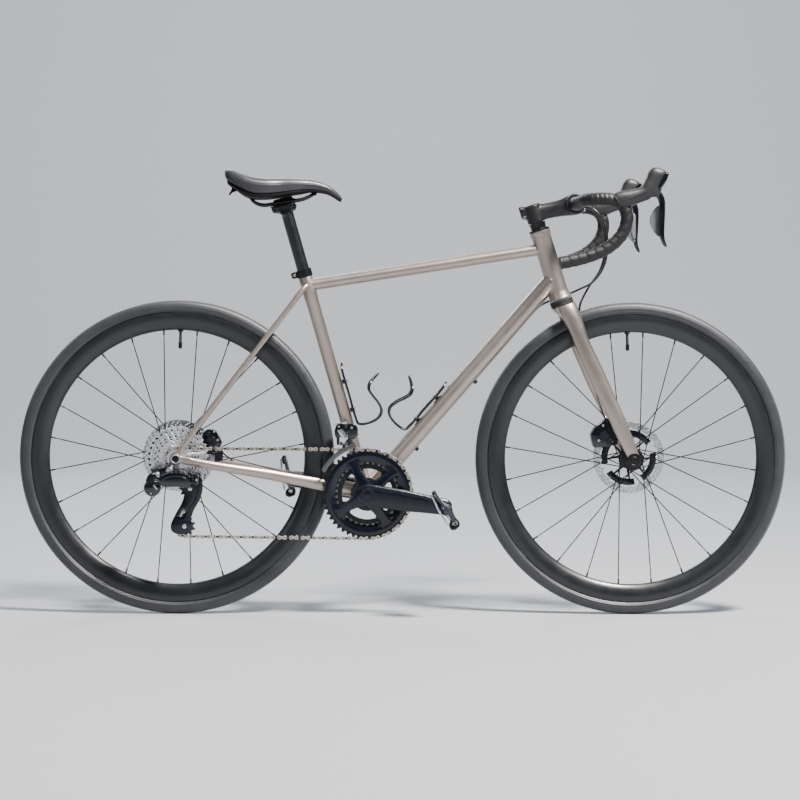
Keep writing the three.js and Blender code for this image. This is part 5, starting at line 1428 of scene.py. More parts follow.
POST_HEAD = np.array([-266.0, 0, 884])
post_low, post_top = seat_at(600), seat_at(884)
post = Shell(rod(post_low, post_top, 13.6, sides=56))
post.add(turned([(0.1, -14), (10.6, -14), (12.2, -12.4), (12.4, 0), (12.2, 12.4), (10.6, 14), (0.1, 14)],
                POST_HEAD, sides=44))
post.add(skin([oval(p, a, b, ACROSS, (0, 0, 1), 36, 2.4) for p, a, b in (
    ((-292, 0, 884.6), 9, 6), ((-280, 0, 885.4), 11, 8), ((-266, 0, 886), 13, 10),
    ((-252, 0, 889.5), 11, 8),
    ((-241, 0, 892.5), 9, 6))]))
post_obj = piece("seat_post_tube", post, CARBON, None, "seat_post")
fused(post_obj, 1.3, 5)
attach(post_obj, "frame")
clamp = Shell()
lower = [(-297, 890), (-291, 884.6), (-262, 886.6), (-243, 893), (-240, 897), (-243, 899), (-296, 892)]
upper = [(-292, 901), (-250, 907.5), (-248, 913), (-252, 916), (-266, 913), (-290, 907)]
clamp.add(stamped([rounded(lower, 2.4, 4)], -19, 19, 1.8, 4))
clamp.add(stamped([rounded(upper, 2.4, 4)], -17.5, 17.5, 1.8, 4))
for x, z in ((-290, 897.2), (-247, 904.6)):
    clamp.add(turned([(0.1, -15), (5.0, -15), (5.8, -14), (5.8, 14), (5.0, 15), (0.1, 15)],
                     (x + 1, 0, z - 10.4), sides=32))
for side in (-1, 1):
    cradle = [(-291, 886.6), (-248, 892.6), (-246.6, 898.6), (-250, 900.4), (-289, 894.4), (-292.4, 891)]
    clamp.add(stamped([rounded(cradle, 1.6, 3)], side * 22 - 4.6, side * 22 + 4.6, 1.4, 3))
piece("saddle_clamp_plates", clamp, BLACK, "frame", "saddle_clamp", sharp=34)
clamp_bolts = Shell()
for x, z in ((-289.5, 888.0), (-246.5, 894.6)):
    lean = unit((0.12, 0, -1))
    clamp_bolts.add(rod(np.array([x, 0, z + 18]), np.array([x, 0, z]) + lean * 7, 2.3, sides=18))
    clamp_bolts.add(bolt(np.array([x, 0, z]) + lean * 5, lean, 4.0, 4.0))
    clamp_bolts.add(turned([(0.1, -17), (3.6, -17), (4.2, -16), (4.2, 16), (3.6, 17), (0.1, 17)],
                           (x, 0, z + 1), sides=24))
piece("saddle_clamp_bolts", clamp_bolts, GREY_METAL, "frame")

# Bottle cages: one closed bent wire each, carried on two strap plates with bolts.
CAGE_WIRE = [(141, 3, 0), (128, 0, 12), (70, 0, 13), (18, 0, 13), (4, 3, 13), (0, 28, 15), (6, 50, 21),
             (18, 59, 28),
             (36, 57, 34), (56, 49, 39), (70, 45, 40.5), (80, 48.5, 39), (90, 60, 28), (98, 74, 0)]


def bottle_cage(name, node, foot, along, out):
    """A cage on a tube: its foot is on the tube's line of bosses, and it opens outward."""
    def at(s, w, y):
        """A point by its run up the tube, its height off the tube and its place across."""
        return foot + along * s + out * w + ACROSS * y

    half = [at(*p) for p in CAGE_WIRE]
    rest = [at(s, w, -y) for s, w, y in CAGE_WIRE[-2:0:-1]]
    wire = sweep(spline(half + rest, 8, closed=True), 2.6, 18, closed=True)
    metal = Shell(wire)
    straps, heads = Shell(), Shell()
    for s in (38, 102):
        for way in (-1, 1):
            strap = [at(s + way * run, lift, y) for run, lift,
                     y in ((9, 0.4, -13), (8, 0.2, -6), (8, 0.2, 6), (9, 0.4, 13))]
            metal.add(sweep(spline(strap, 5), 1.9, 14))
        plate = stamped([rounded([(-12, -8), (12, -8), (12, 8), (-12, 8)], 4, 4), circle2(2.7, 20)[::-1]],
                        -0.8, 0.8, 0.3, 2)
        metal.add(framed(plate, at(s, 1.6, 0), along, out, np.cross(along, out)))
        straps.add(rod(at(s, -6.6, 0), at(s, 0.8, 0), 5.2, 4.8, 24, 0.5))
        heads.add(bolt(at(s, 2.2, 0), out, 4.4, 3.0))
    piece(name + "_wire", metal, DARK_WIRE, "frame", node)
    piece(name + "_feet", straps, BLACK, "frame")
    piece(name + "_bolts", heads, SILVER, "frame")


bottle_cage("seat_cage", "bottle_cage_rear", BB + seat_up * 147 - seat_back * (SEAT_TUBE_RADIUS + 7),
            seat_up, -seat_back)
bottle_cage("down_cage", "bottle_cage_front", BB + down_along * 156 + down_out * (down_r + 7), down_along,
            down_out)

# ------------------------------------------------------------------ cranks, rings, chain and cassette

PITCH = 12.7
CRANK_LENGTH, CRANK_DOWN = 172.5, 8.8          # the right arm points this many degrees below straight forward


def pitch_radius(teeth):
    """The radius of the chain's pins round a sprocket."""
    return PITCH / 2 / math.sin(math.pi / teeth)


def teeth_outline(teeth, start=0.0, tip=0.55, root=3.85, samples=8):
    """A sprocket's edge: round seats for the rollers with pointed, flat-topped teeth between them."""
    radius = pitch_radius(teeth)
    made = []
    for k in range(teeth):
        for j in range(samples):
            part = j / samples
            lift = 0.5 - 0.5 * math.cos(part * TURN)
            reach = radius - root + (root + tip * 5) * min(1.0, lift ** 1.25 * 1.08)
            angle = start + (k + part) * TURN / teeth
            made.append((reach * math.cos(angle), reach * math.sin(angle)))
    return np.array(made)


def turned2(outline, degrees):
    """The outline turned in its plane."""
    a = math.radians(degrees)
    return np.asarray(outline) @ np.array([[math.cos(a), math.sin(a)], [-math.sin(a), math.cos(a)]])


def on_bb(shape):
    """A shape made about the origin, moved to the crank's axis."""
    return moved(shape, BB)


SPIDER_ARMS = (42.0, 114.0, 212.0, 304.0)

# The big ring: a black toothed rim inside a broad blue-black face, open between the four arms.
outer_teeth = teeth_outline(48)
toothed = stamped([outer_teeth, circle2(86.5, 96)], -48.0, -46.0, 0.35)
piece("outer_ring_teeth", Shell(on_bb(toothed)), BLACK, "crank", "chainring_outer", sharp=32)
band = turned([(70.2, -46.0), (70.0, -47.2), (70.8, -48.2), (77.4, -49.6), (79.2, -50.2), (86.5, -50.3),
               (90.6, -49.6), (91.4, -48.6),
               (91.4, -45.4), (90.6, -45.0), (71.2, -45.0)], BB, sides=144, closed=True)
ring_face = Shell(band)
for arm in SPIDER_ARMS:
    for lean in (-1, 1):
        gusset = rounded([(78.6, -1), (66, -1), (61, 6), (66, 16), (79.4, 30)], 5, 5) * (1, lean)
        ring_face.add(on_bb(stamped([turned2(gusset, arm)], -49.4, -45.4, 1.0, 2)))
piece("outer_ring_face", ring_face, SPIDER, "crank", sharp=30)

# The small ring: bright teeth behind a dark body that reaches in to its own four bolts, with a black disc of
# painted shade just behind the teeth.
inner = stamped([teeth_outline(34), circle2(60, 72)[::-1]], -40.9, -39.1, 0.3)
piece("inner_ring_teeth", Shell(on_bb(inner)), GREY_METAL, "crank", "chainring_inner", sharp=32)
# The second ring, from 64 to 73 mm, is painted shade: a black sheet behind the teeth so that the gaps between
# them look dark.
inner_body_and_shade_disc = Shell(turned(ring_profile(55.5, 65.4, -43.0, -38.4, 0.7), BB, sides=120, closed=True),
                   turned(ring_profile(64.0, 73.0, -38.8, -37.8, 0.3), BB, sides=120, closed=True))
for arm in SPIDER_ARMS:
    tab = rounded([(58, -17), (47, -10), (42.4, 0), (47, 10), (58, 17)], 4, 5)
    inner_body_and_shade_disc.add(on_bb(stamped([turned2(tab, arm)], -43.2, -38.4, 0.6, 2)))
ramp = stamped([rounded([(63.4, -2.2), (66.2, -1.3), (66.2, 1.3), (63.4, 2.2)], 0.6, 2)], -42.4, -40.8, 0.3)
for k in range(17):
    inner_body_and_shade_disc.add(on_bb(spun(ramp, -360 * k / 17)))
piece("inner_ring_body_and_shade_disc", inner_body_and_shade_disc, BLACK, "crank", sharp=32)

# The right arm in its own frame: it lies along +X from the axis; mirrored and turned afterwards.
CRANK_ROWS = [(-24, 66, 0, 4.5, 11), (-21, 66, 0, 6.2, 17), (-12, 66, 0, 7.2, 22), (0, 66.3, 0, 7.8, 24.5),
              (30, 66.8, 0, 8.0, 24.8),
              (70, 67, 0, 7.8, 24.2), (110, 67, 0, 7.5, 21.8), (146, 67, 0, 7.4, 19.4),
              (166, 67, 0, 7.2, 18.4),
              (178, 67, 0, 6.2, 15.5), (184.5, 67, 0, 4.4, 9)]


def crank_section(x, y, z, wide, high):
    """A section with a flat outer face, two bright bevels and a rounded back."""
    corners = [(wide, -high * 0.52), (wide, high * 0.42), (wide * 0.55, high * 0.86), (0, high),
               (-wide * 0.8, high * 0.86),
               (-wide, high * 0.5), (-wide, -high * 0.5), (-wide * 0.8, -high * 0.88), (0, -high),
               (wide * 0.6, -high * 0.9)]
    corners = rounded(corners, 2.2, 3)
    return np.array([(x, y + w, z + h) for w, h in corners])


def crank_arm_shape():
    """A forged arm lying along X from its axis."""
    return skin([crank_section(*row) for row in stations(CRANK_ROWS, 4)])


def to_right_arm(shape):
    """A shape made for the left side in the arm's frame, laid on the right arm."""
    return moved(spun(flipped(shape), CRANK_DOWN), BB)


def to_left_arm(shape):
    """The same on the left arm, half a turn away."""
    return moved(spun(shape, 180 + CRANK_DOWN), BB)


def pedal_eye(y0, y1):
    """The ring that the pedal screws into."""
    return turned(ring_profile(8.0, 11.5, y0, y1, 0.8), (CRANK_LENGTH, 0, 0), sides=36, closed=True)


arm_right = Shell(to_right_arm(crank_arm_shape()))
arm_right.add(to_right_arm(turned([(0.1, 43.5), (19, 43.5), (20, 45), (20, 56), (22, 60), (22, 66)],
                                  (0, 0, 0), sides=48)))
arm_right.add(to_right_arm(pedal_eye(66, 75.6)))
piece("crank_arm_right_shell", arm_right, SPIDER, "crank", "crank_arm_right",
                  sharp=28)

spider = Shell(turned(ring_profile(15.5, 36.5, -51.5, -48.5, 0.8), BB, sides=90, closed=True))
for arm in SPIDER_ARMS:
    rows = [(6, 57.5, 0, 3.6, 19), (24, 56.5, 0, 4.2, 15.6), (44, 54.5, 0, 3.8, 11.4),
            (62, 52.0, 0, 3.0, 10.0), (74, 50.6, 0, 2.0, 12.0),
            (80, 50.0, 0, 1.2, 15)]
    rings = [np.array([(x, -(y + w), z + h) for w, h in rounded(
        [(-wide, -high), (wide * 0.4, -high), (wide, -high * 0.55), (wide, high * 0.55), (wide * 0.4, high),
         (-wide, high)],
        1.6, 2)]) for x, y, z, wide, high in stations(rows, 4)]
    spider.add(on_bb(spun(skin(rings), -arm)))
    stud = turned([(0.1, -51.4), (5.2, -51.4), (6.4, -50.6), (6.8, -49.2), (6.8, -41.0)], (66.5, 0, 0),
                  sides=28)
    spider.add(on_bb(spun(stud, -arm)))
piece("crank_spider", spider, SPIDER, "crank", sharp=30)
ring_bolts = Shell()
for arm in SPIDER_ARMS:
    ring_bolts.add(on_bb(spun(bolt((66.5, -40.0, 0), ACROSS, 5.0, 2.2), -arm)))
piece("chainring_bolts", ring_bolts, GREY_METAL, "crank")

cap = Shell(to_right_arm(turned([(0.1, 74.2), (8.4, 74.2), (9.4, 74.0), (9.4, 74.9), (14.6, 74.9),
                                 (15.2, 74.2), (15.2, 73)],
                                (0, 0, 0), sides=40)))
cap.add(to_left_arm(turned([(0.1, 73.4), (5, 73.4), (5.6, 74.6), (10.6, 74.8), (11.2, 74.0), (11.2, 71)],
                           (0, 0, 0), sides=40)))
piece("crank_caps", cap, SPIDER, "crank")
arm_left = Shell(to_left_arm(crank_arm_shape()))
arm_left.add(to_left_arm(turned([(14.6, 43.5), (19.2, 43.5), (20, 45), (20, 58), (21.5, 62), (21.5, 67),
                                 (14.6, 67)],
                                (0, 0, 0), sides=48, closed=True)))
arm_left.add(to_left_arm(pedal_eye(66, 75.6)))
piece("crank_arm_left_shell", arm_left, GLOSS, "crank", "crank_arm_left", sharp=28)
pins = Shell()
for side, place in ((1, to_left_arm), (-1, to_right_arm)):
    pins.add(place(turned([(5.0, 68), (5.0, 92), (7.6, 92.2), (7.6, 95.4), (5.0, 96.4), (5.0, 150)],
                          (CRANK_LENGTH, 0, 0),
                          sides=24)))
    pins.add(place(turned([(4.2, 66), (7.6, 75.9), (7.6, 77.0), (0.1, 77.0)], (CRANK_LENGTH, 0, 0),
                          sides=24)))
for x in (12.0, 27.0):
    pins.add(to_left_arm(bolt((x, 62, -18.0), (0, 0, -1), 3.4, 2.6)))
piece("pedal_spindles", pins, SILVER, "crank")
spindle = turned([(9, -44), (14.2, -44), (14.2, 50), (9, 50)], BB, sides=40, closed=True)
piece("crank_spindle", Shell(spindle), GREY_METAL, "crank")


# Road pedals: a black body with a bright band, a fixed nose and a sprung claw at the tail.
PEDAL_LIFT = 3.5                                # of the platform above its spindle

def pedal_shapes():
    """The body, the bright parts and the claw, about a spindle that runs across."""
    body, metal, claw = Shell(), Shell(), Shell()
    core = turned([(6.2, 97), (9.6, 97.4), (10.2, 99), (10.6, 112), (12.0, 118), (12.0, 146), (10.2, 153),
                   (8.6, 156.6),
                   (5.6, 157.6), (0.1, 157.8)], sides=36)
    body.add(core)
    plan = rounded([(12, 100), (46, 114), (49.5, 120), (49.5, 136), (46, 142), (12, 156), (-24, 157),
                    (-30, 150), (-30, 106),
                    (-24, 99)], 8, 5)
    slab = stamped([plan, rounded([(15, 108), (35, 118), (35, 138), (15, 148)], 5, 4)[::-1]], -4.2, 3.4,
                   1.6, 3)
    body.add((slab[0][:, [0, 2, 1]] * (1, 1, -1), [tuple(reversed(f)) for f in slab[1]]))
    wide = stamped([rounded([(-25, -6), (-9, -8.4), (9, -8.6), (15, -4), (14, 6), (6, 8.6), (-12, 8.6),
                             (-24, 7)], 4, 4)],
                   103, 153, 2.4, 3)
    body.add(wide)
    band = stamped([rounded([(-27, 13.8), (10, 10.6), (40, 6.8), (46, 7.0), (42, 9.9), (12, 14.8),
                             (-25, 17.8)], 1.4, 3)],
                   104, 152, 1.0, 2)
    metal.add(band)
    for y in (99.6, 154.6):
        metal.add(stamped([rounded([(-20, -3), (10, -5), (12, 3), (-18, 5.6)], 2.2, 3)], y - 0.9, y + 0.9,
                          0.4))
    jaw = stamped([rounded([(-24, 5), (-30, 13.6), (-39, 15.8), (-45, 8.4), (-43.4, -5.4), (-35, -9.6),
                            (-27, -8.4), (-34, -2),
                            (-35.4, 6), (-31, 8), (-27, 2)], 2.6, 4)], 112, 144, 2.2, 3)
    claw.add(jaw)
    claw.add(stamped([rounded([(-22, -7), (-30, -8.8), (-41, -5), (-44.6, 4), (-42, 9), (-36, 5), (-34, -2),
                               (-24, -3)], 2.6, 4)],
                     106, 150, 1.8, 3))
    spring = sweep([(-31, 104.5 + k * 47 / 90, 0) + np.array([5.0 * math.cos(k * TURN / 9), 0,
            5.0 * math.sin(k * TURN / 9)])
                    for k in range(91)], 0.85, 8)
    metal.add(spring)
    nose = stamped([rounded([(40, -3.4), (48.8, -2.6), (50.4, 1), (47, 5.2), (38, 6.6), (30, 5.4),
                             (31, -2.8)], 2.2, 4)], 114,
                   142, 1.6, 3)
    claw.add(nose)
    return body, metal, claw


for name, side, nose_angle in (("right", -1, 125.0), ("left", 1, 102.5)):
    pin = BB + spun(([(-side * CRANK_LENGTH, 0, 0)], []), CRANK_DOWN)[0][0]
    for part, look, label, slot, node in zip(pedal_shapes(), (PEDAL_ALLOY, SILVER, BLACK),
                                             ("body", "metal", "claw"),
                                             ("black_alloy", "steel", "black_alloy"),
                                             ("pedal_" + name, None, None)):
        lift = PEDAL_LIFT / 2 if label == "body" else PEDAL_LIFT
        verts = (np.concatenate(part.verts) + (0, 0, lift)) * (1, side, 1)
        placed = moved(spun((verts, part.faces), -nose_angle), pin)
        piece("pedal_%s_%s" % (label, name), Shell(placed), look, "pedal_" + name, node, sharp=34)

# ---- the chain, laid link by link round the big ring, the smallest cog and both pulleys

CAGE_PIVOT = np.array([-467.0, 0, 303.0])
COG_Y, RING_Y = -66.0, -47.0
GUIDE, TENSION = JOINT["guide_pulley_spin"], JOINT["tension_pulley_spin"]
LOOP = [(BB, pitch_radius(48), 1), (REAR_AXLE, pitch_radius(11), 1), (GUIDE, pitch_radius(11), -1),
        (TENSION, pitch_radius(11), 1)]


def run_angle(a, b):
    """The heading of the chain's straight run from one wheel to the next."""
    dx, dz = b[0][0] - a[0][0], b[0][2] - a[0][2]
    return math.atan2(dz, dx) - math.asin((b[2] * b[1] - a[2] * a[1]) / math.hypot(dx, dz))


def loop_edge():
    """Points all round the chain's pitch line, in the plane of X and Z."""
    made = []
    for i, wheel in enumerate(LOOP):
        arriving, leaving = run_angle(LOOP[i - 1], wheel), run_angle(wheel, LOOP[(i + 1) % 4])
        swing = ((leaving - arriving) * wheel[2] + 2 * TURN) % TURN
        for k in range(61):
            heading = arriving + wheel[2] * swing * k / 60
            made.append((wheel[0][0] + wheel[2] * wheel[1] * math.sin(heading),
                         wheel[0][2] - wheel[2] * wheel[1] * math.cos(heading)))
    return np.array(made + made[:1])


def chain_pins():
    """The chain's pins, an even number of them, a pitch apart."""
    edge = loop_edge()
    run = np.concatenate([[0], np.cumsum(np.linalg.norm(np.diff(edge, axis=0), axis=1))])
    count = int(round(run[-1] / PITCH / 2)) * 2
    at = np.linspace(0, run[-1], count, endpoint=False)
    return np.column_stack([np.interp(at, run, edge[:, 0]), np.interp(at, run, edge[:, 1])])


PINS = chain_pins()
front_x, rear_x = BB[0] - 20, REAR_AXLE[0] + 25


def chain_y(x):
    """The chain slants across from the cog's plane to the ring's."""
    t = np.clip((x - rear_x) / (front_x - rear_x), 0, 1)
    return COG_Y + (RING_Y - COG_Y) * t


def waisted(length, end, waist, steps=7):
    """A link plate's outline, from one pin at the origin to the next along X."""
    right = [(length + end * math.cos(a), end * math.sin(a)) for a in np.radians(np.linspace(-100, 100,
            steps))]
    left = [(end * math.cos(a), end * math.sin(a)) for a in np.radians(np.linspace(80, 280, steps))]
    return right + [(length * 0.5, waist)] + left + [(length * 0.5, -waist)]


outer_plate = stamped([waisted(PITCH, 4.3, 2.3)], -0.42, 0.42, 0.2)
inner_plate = stamped([waisted(PITCH, 3.7, 1.9)], -0.42, 0.42, 0.2)
roller = turned([(3.7, -1.2), (3.85, -1.0), (3.85, 1.0), (3.7, 1.2)], sides=14)
rivet = turned([(0.1, -2.7), (1.0, -2.7), (1.1, -3.3), (1.75, -3.3), (1.75, 3.3), (1.1, 3.3), (1.0, 2.7),
                (0.1, 2.7)], sides=10)
links, inside = Shell(), Shell()
for i, here in enumerate(PINS):
    there = PINS[(i + 1) % len(PINS)]
    a = np.array([here[0], chain_y(here[0]), here[1]])
    b = np.array([there[0], chain_y(there[0]), there[1]])
    x = unit(b - a)
    z = unit(np.cross(x, ACROSS))
    y = np.cross(z, x)
    for side in (-1, 1):
        plate = outer_plate if i % 2 else inner_plate
        reach = 2.55 if i % 2 else 1.65
        (links if i % 2 else inside).add(framed(moved(plate, (0, side * reach, 0)), a, x, y, z))
    inside.add(framed(roller, a, x, y, z))
    inside.add(framed(rivet, a, x, y, z))
piece("chain_outer_links", links, CHAIN_STEEL, "frame", "chain", sharp=40)
piece("chain_inner_links", inside, CHAIN_DARK, "frame", sharp=40)

# Cassette: twelve toothed cogs with pierced webs, climbing towards the wheel; teeth and place across.
COGS = [(11, -66.0), (12, -62.4), (13, -58.9), (14, -55.4), (15, -51.9), (17, -48.4), (19, -45.0),
        (21, -41.6), (24, -38.3),
        (27, -35.1), (30, -32.1), (34, -29.4)]
cogs = Shell()
for teeth, y in COGS:
    radius = pitch_radius(teeth)
    outline = teeth_outline(teeth, start=teeth * 0.7, tip=0.36, root=3.9, samples=6)
    holes = [circle2(14.5 if radius > 24 else 12.6, 32)]
    web = radius - 6.2
    if web - 18 > 5:
        count = int(web * 0.5)
        for k in range(count):
            a = k * TURN / count + teeth
            size = min(3.4, (web - 16) / 4)
            holes.append(circle2(size, 12, (web - size) * math.cos(a), (web - size) * math.sin(a)))
        if web - 18 > 16:
            for k in range(12):
                a = k * TURN / 12 + teeth
                holes.append(circle2(5.4, 14, (web - 14.5) * math.cos(a), (web - 14.5) * math.sin(a)))
    cogs.add(moved(stamped([outline] + holes, y - 0.85, y + 0.85, 0.2), REAR_AXLE))
for (teeth, y), (_, after) in zip(COGS, COGS[1:]):
    cogs.add(turned(ring_profile(14.2, 17.0 if teeth > 11 else 15.8, y + 0.8, after - 0.8, 0.2), REAR_AXLE,
                    sides=40, closed=True))
cogs.add(turned(ring_profile(13.9, 52, -28.0, -26.9, 0.2), REAR_AXLE, sides=60, closed=True))
piece("cassette_cogs", cogs, COG_STEEL, "cassette", "cassette", sharp=30)
# Dark discs behind the pierced webs, short of the teeth: they stand for the carriers and paint the shade seen
# through the holes, so the holes look dark.
carriers_and_shade_discs = Shell()
for teeth, y in COGS[5:]:
    carriers_and_shade_discs.add(turned(ring_profile(15.0, pitch_radius(teeth) - 5.0, y + 1.0, y + 1.8, 0.2), REAR_AXLE,
                        sides=72, closed=True))
piece("cassette_carriers_and_shade", carriers_and_shade_discs, BLACK, "cassette")
lock = moved(stamped([notched(12.6, 0.5, 72, 6), circle2(8.2, 30)], -70.4, -67.2, 0.5), REAR_AXLE)
body_tube = turned([(6.8, -67), (13.8, -67), (13.8, -26.8), (6.8, -26.8)], REAR_AXLE, sides=40, closed=True)
piece("cassette_lock_ring", Shell(lock, body_tube), GREY_METAL, "cassette")

# ------------------------------------------------------------------ front derailleur

HINGE_Z = 377.0
mount_low, mount_high = seat_at(388), seat_at(412)
fd = Shell(turned(ring_profile(14.4, 17.4, 0, 24.5, 0.8), mount_low, mount_high - mount_low, 48,
                  closed=True))
fd.add(stamped([rounded([(-153, 389), (-156, 403), (-151, 420), (-136, 423), (-131, 410), (-133, 392)], 4.5,
                        5)],
               -51.5, -30, 3.0, 4))
fd.add(stamped([rounded([(-128, 391), (-130, 408), (-127, 421.5), (-112, 421), (-104, 411), (-105, 394),
                         (-114, 385.5)], 4.5,
                        5)], -52, -29.5, 3.0, 4))
fd.add(stamped([rounded([(-150, 394), (-108, 394), (-108, 412), (-150, 412)], 4, 4)], -47, -16, 2.5, 3))
for x in (-147.5, -123.5):
    fd.add(stamped([rounded([(x - 3, 373.5), (x + 3, 373.5), (x + 3.4, 392), (x - 3.4, 392)], 1.5, 3)], -46,
                   -38, 1.2, 2))
piece("front_derailleur_body", fd, GLOSS, "frame", "front_derailleur", sharp=32)
fd_bright = Shell(stamped([rounded([(-150, 407), (-139, 408.6), (-125, 391), (-127, 386), (-137, 386)], 1.8,
                                   4)],
                          -54.4, -51.0, 1.0, 2))
fd_bright.add(stamped([rounded([(-154, 417), (-128, 421), (-128, 424.6), (-153, 421.4)], 1.2, 3)], -50.5,
                      -32, 0.8, 2))
fd_bright.add(rod((-149.5, -42, HINGE_Z), (-121.5, -42, HINGE_Z), 2.0, sides=20, soft=0.4))
fd_bright.add(bolt((-118, -51.6, 412), -ACROSS, 3.0, 2.0))
fd_bright.add(bolt((-146, -51.0, 414), -ACROSS, 2.4, 1.6))
fd_bright.add(bolt((-143, -51.0, 397), -ACROSS, 1.9, 1.4))
fd_bright.add(bolt((-131.5, -21, 401), -ACROSS, 3.6, 2.6))
piece("front_derailleur_bright", fd_bright, SILVER, "frame")


def ring_zone(inner, outer, start, end, steps=14):
    """A band round the rings' centre, its ends rounded."""
    shape = np.vstack([arc2(outer, start, end, steps), arc2(inner, end, start, steps)])
    return rounded(shape, min(3.0, (outer - inner) * 0.35), 3) + (BB[0], BB[2])


cage = Shell(stamped([ring_zone(105.4, 113.6, 104, 153)], -57.0, -55.4, 0.5, 2),
             stamped([ring_zone(103.2, 111, 104, 153)], -43.0, -41.5, 0.4, 2),
             stamped([ring_zone(113.6, 117, 104.4, 110, 5)], -56.6, -41.8, 0.6, 2),
             stamped([ring_zone(105.2, 109.8, 150, 152.8, 4)], -56.6, -41.8, 0.6, 2))
cage.add(stamped([ring_zone(111.0, 114.4, 106, 151)], -58.3, -56.6, 0.8, 2))
cage.add(stamped([rounded([(-139, 360), (-130, 363), (-131, 378), (-138, 378)], 2, 3)], -43, -41.5, 0.4))
for x in (-141, -130.5):
    cage.add(turned(ring_profile(2.3, 4.1, -2.4, 2.4, 0.4), (x, -42, HINGE_Z), (1, 0, 0), 24, closed=True))
piece("front_derailleur_cage_plates", cage, CAGE_GREY, "front_derailleur_cage",
      "front_derailleur_cage", sharp=32)

# ------------------------------------------------------------------ rear derailleur

LINK_SLANT = math.radians(35)
LINK_AXIS = np.array([0, math.sin(LINK_SLANT), math.cos(LINK_SLANT)])
LINK = np.array([56.0, 0, 2])
OUTER_ROOT, INNER_ROOT = np.array([-524.0, -107, 298]), np.array([-528.0, -94, 298])
KNUCKLE = "rear_derailleur_knuckle"
OUTER_LINK, INNER_LINK = "rear_derailleur_outer_link", "rear_derailleur_inner_link"
CAGE_KNUCKLE, CAGE_BODY = "rear_derailleur_cage_knuckle", "rear_derailleur_cage"

knuckle = Shell(stamped([rounded([(-521, 328), (-510, 334), (-500, 329), (-497, 318), (-503, 309.5),
                                  (-520, 306.5), (-540, 302),
                                  (-549, 306), (-549, 315), (-540, 322), (-530, 325)], 6, 6)], -97.5, -77.6,
                                  3.4, 5))
knuckle.add(turned([(0.1, -99.0), (7.4, -99.0), (9.4, -98.2), (10.4, -96), (10.6, -80)], (-510, 0, 321),
                   sides=40))
knuckle.add(turned([(0.1, -101.0), (6.4, -101), (8.2, -100.2), (9.2, -98), (9.4, -84)], (-537, 0, 311.5),
                   sides=36))
knuckle.add(turned([(0.1, -113), (14.3, -113), (17.0, -111.6), (18.4, -109), (18.4, -99.4), (17.8, -98.8),
                    (17.8, -97.8),
                    (18.4, -97.2), (18.4, -87), (17.2, -84.6), (14.6, -83.4), (0.1, -83.4)],
                    (-546.6, 0, 283.4), sides=56))
knuckle.add(stamped([rounded([(-562, 296), (-556, 312), (-545, 318), (-537, 310), (-537, 291), (-546, 286)],
                             5, 5)],
                    -110, -87, 3.2, 4))
for root in (OUTER_ROOT, INNER_ROOT):
    for side in (-1, 1):
        lug = root + LINK_AXIS * side * 7.6
        knuckle.add(rod(lug - LINK_AXIS * 1.3, lug + LINK_AXIS * 1.3, 4.9, sides=28, soft=0.5))
        knuckle.add(sweep([lug, (lug + (-541, lug[1], lug[2])) / 2, (-541, lug[1], lug[2])], (2.3, 1.3), 14,
                          up=LINK_AXIS))
piece("rd_knuckle_body", knuckle, GLOSS, KNUCKLE, KNUCKLE, sharp=32)
knuckle_bright = Shell()
for spot, size in (((-510, -98.6, 321), 5.6), ((-537, -100.8, 311.5), 4.8)):
    knuckle_bright.add(bolt(spot, -ACROSS, size, 2.0))
    knuckle_bright.add(turned(ring_profile(size + 0.4, size + 1.7, -0.2, 0.7, 0.2), spot, -ACROSS, 36,
                              closed=True))
for root in (OUTER_ROOT, INNER_ROOT):
    knuckle_bright.add(rod(root - LINK_AXIS * 9.4, root + LINK_AXIS * 9.4, 2.0, sides=20, soft=0.5))
knuckle_bright.add(stamped([rounded([(-545, 289.4), (-542, 292.4), (-534.6, 281.6), (-537, 279.4)], 1.6,
                                    3)], -114.0, -112.6, 0.5, 2))
knuckle_bright.add(bolt((-549, -112.8, 272), -ACROSS, 1.7, 1.0))
piece("rd_knuckle_bright", knuckle_bright, SILVER, KNUCKLE)
# The battery rides on the back of the knuckle.
battery = Shell(stamped([rounded([(-549, 300), (-536, 303), (-529, 323), (-533, 329), (-545, 325),
                                  (-552, 311)], 3.5, 4)],
                        -96, -80.5, 2.4, 3))
battery.add(stamped([rounded([(-544, 305), (-538, 307), (-534, 321), (-541, 319)], 2, 3)], -97.2, -95.4,
                    0.5, 2))
piece("rd_battery", battery, PLASTIC, KNUCKLE, sharp=32)


def derailleur_link(root, wide, name, node, look):
    """A link with an eye at each end, a little thicker in its middle."""
    tip = root + LINK
    shell = Shell()
    for at in (root, tip):
        shell.add(rod(at - LINK_AXIS * 5.9, at + LINK_AXIS * 5.9, 4.9, sides=28, soft=0.6))
    middle = stations([tuple(root + LINK * k) + (wide * (1 + 0.35 * math.sin(math.pi * k)),
                                                 5.4 + 1.0 * math.sin(math.pi * k))
                       for k in (0.03, 0.2, 0.5, 0.8, 0.97)], 5)
    shell.add(skin([oval(r[:3], r[3], r[4], np.cross(LINK_AXIS, unit(LINK)), LINK_AXIS, 32,
                         3.0) for r in middle]))
    piece(name, shell, look, node, node, sharp=36)


derailleur_link(OUTER_ROOT, 3.9, "rd_outer_link_body", OUTER_LINK, GLOSS)
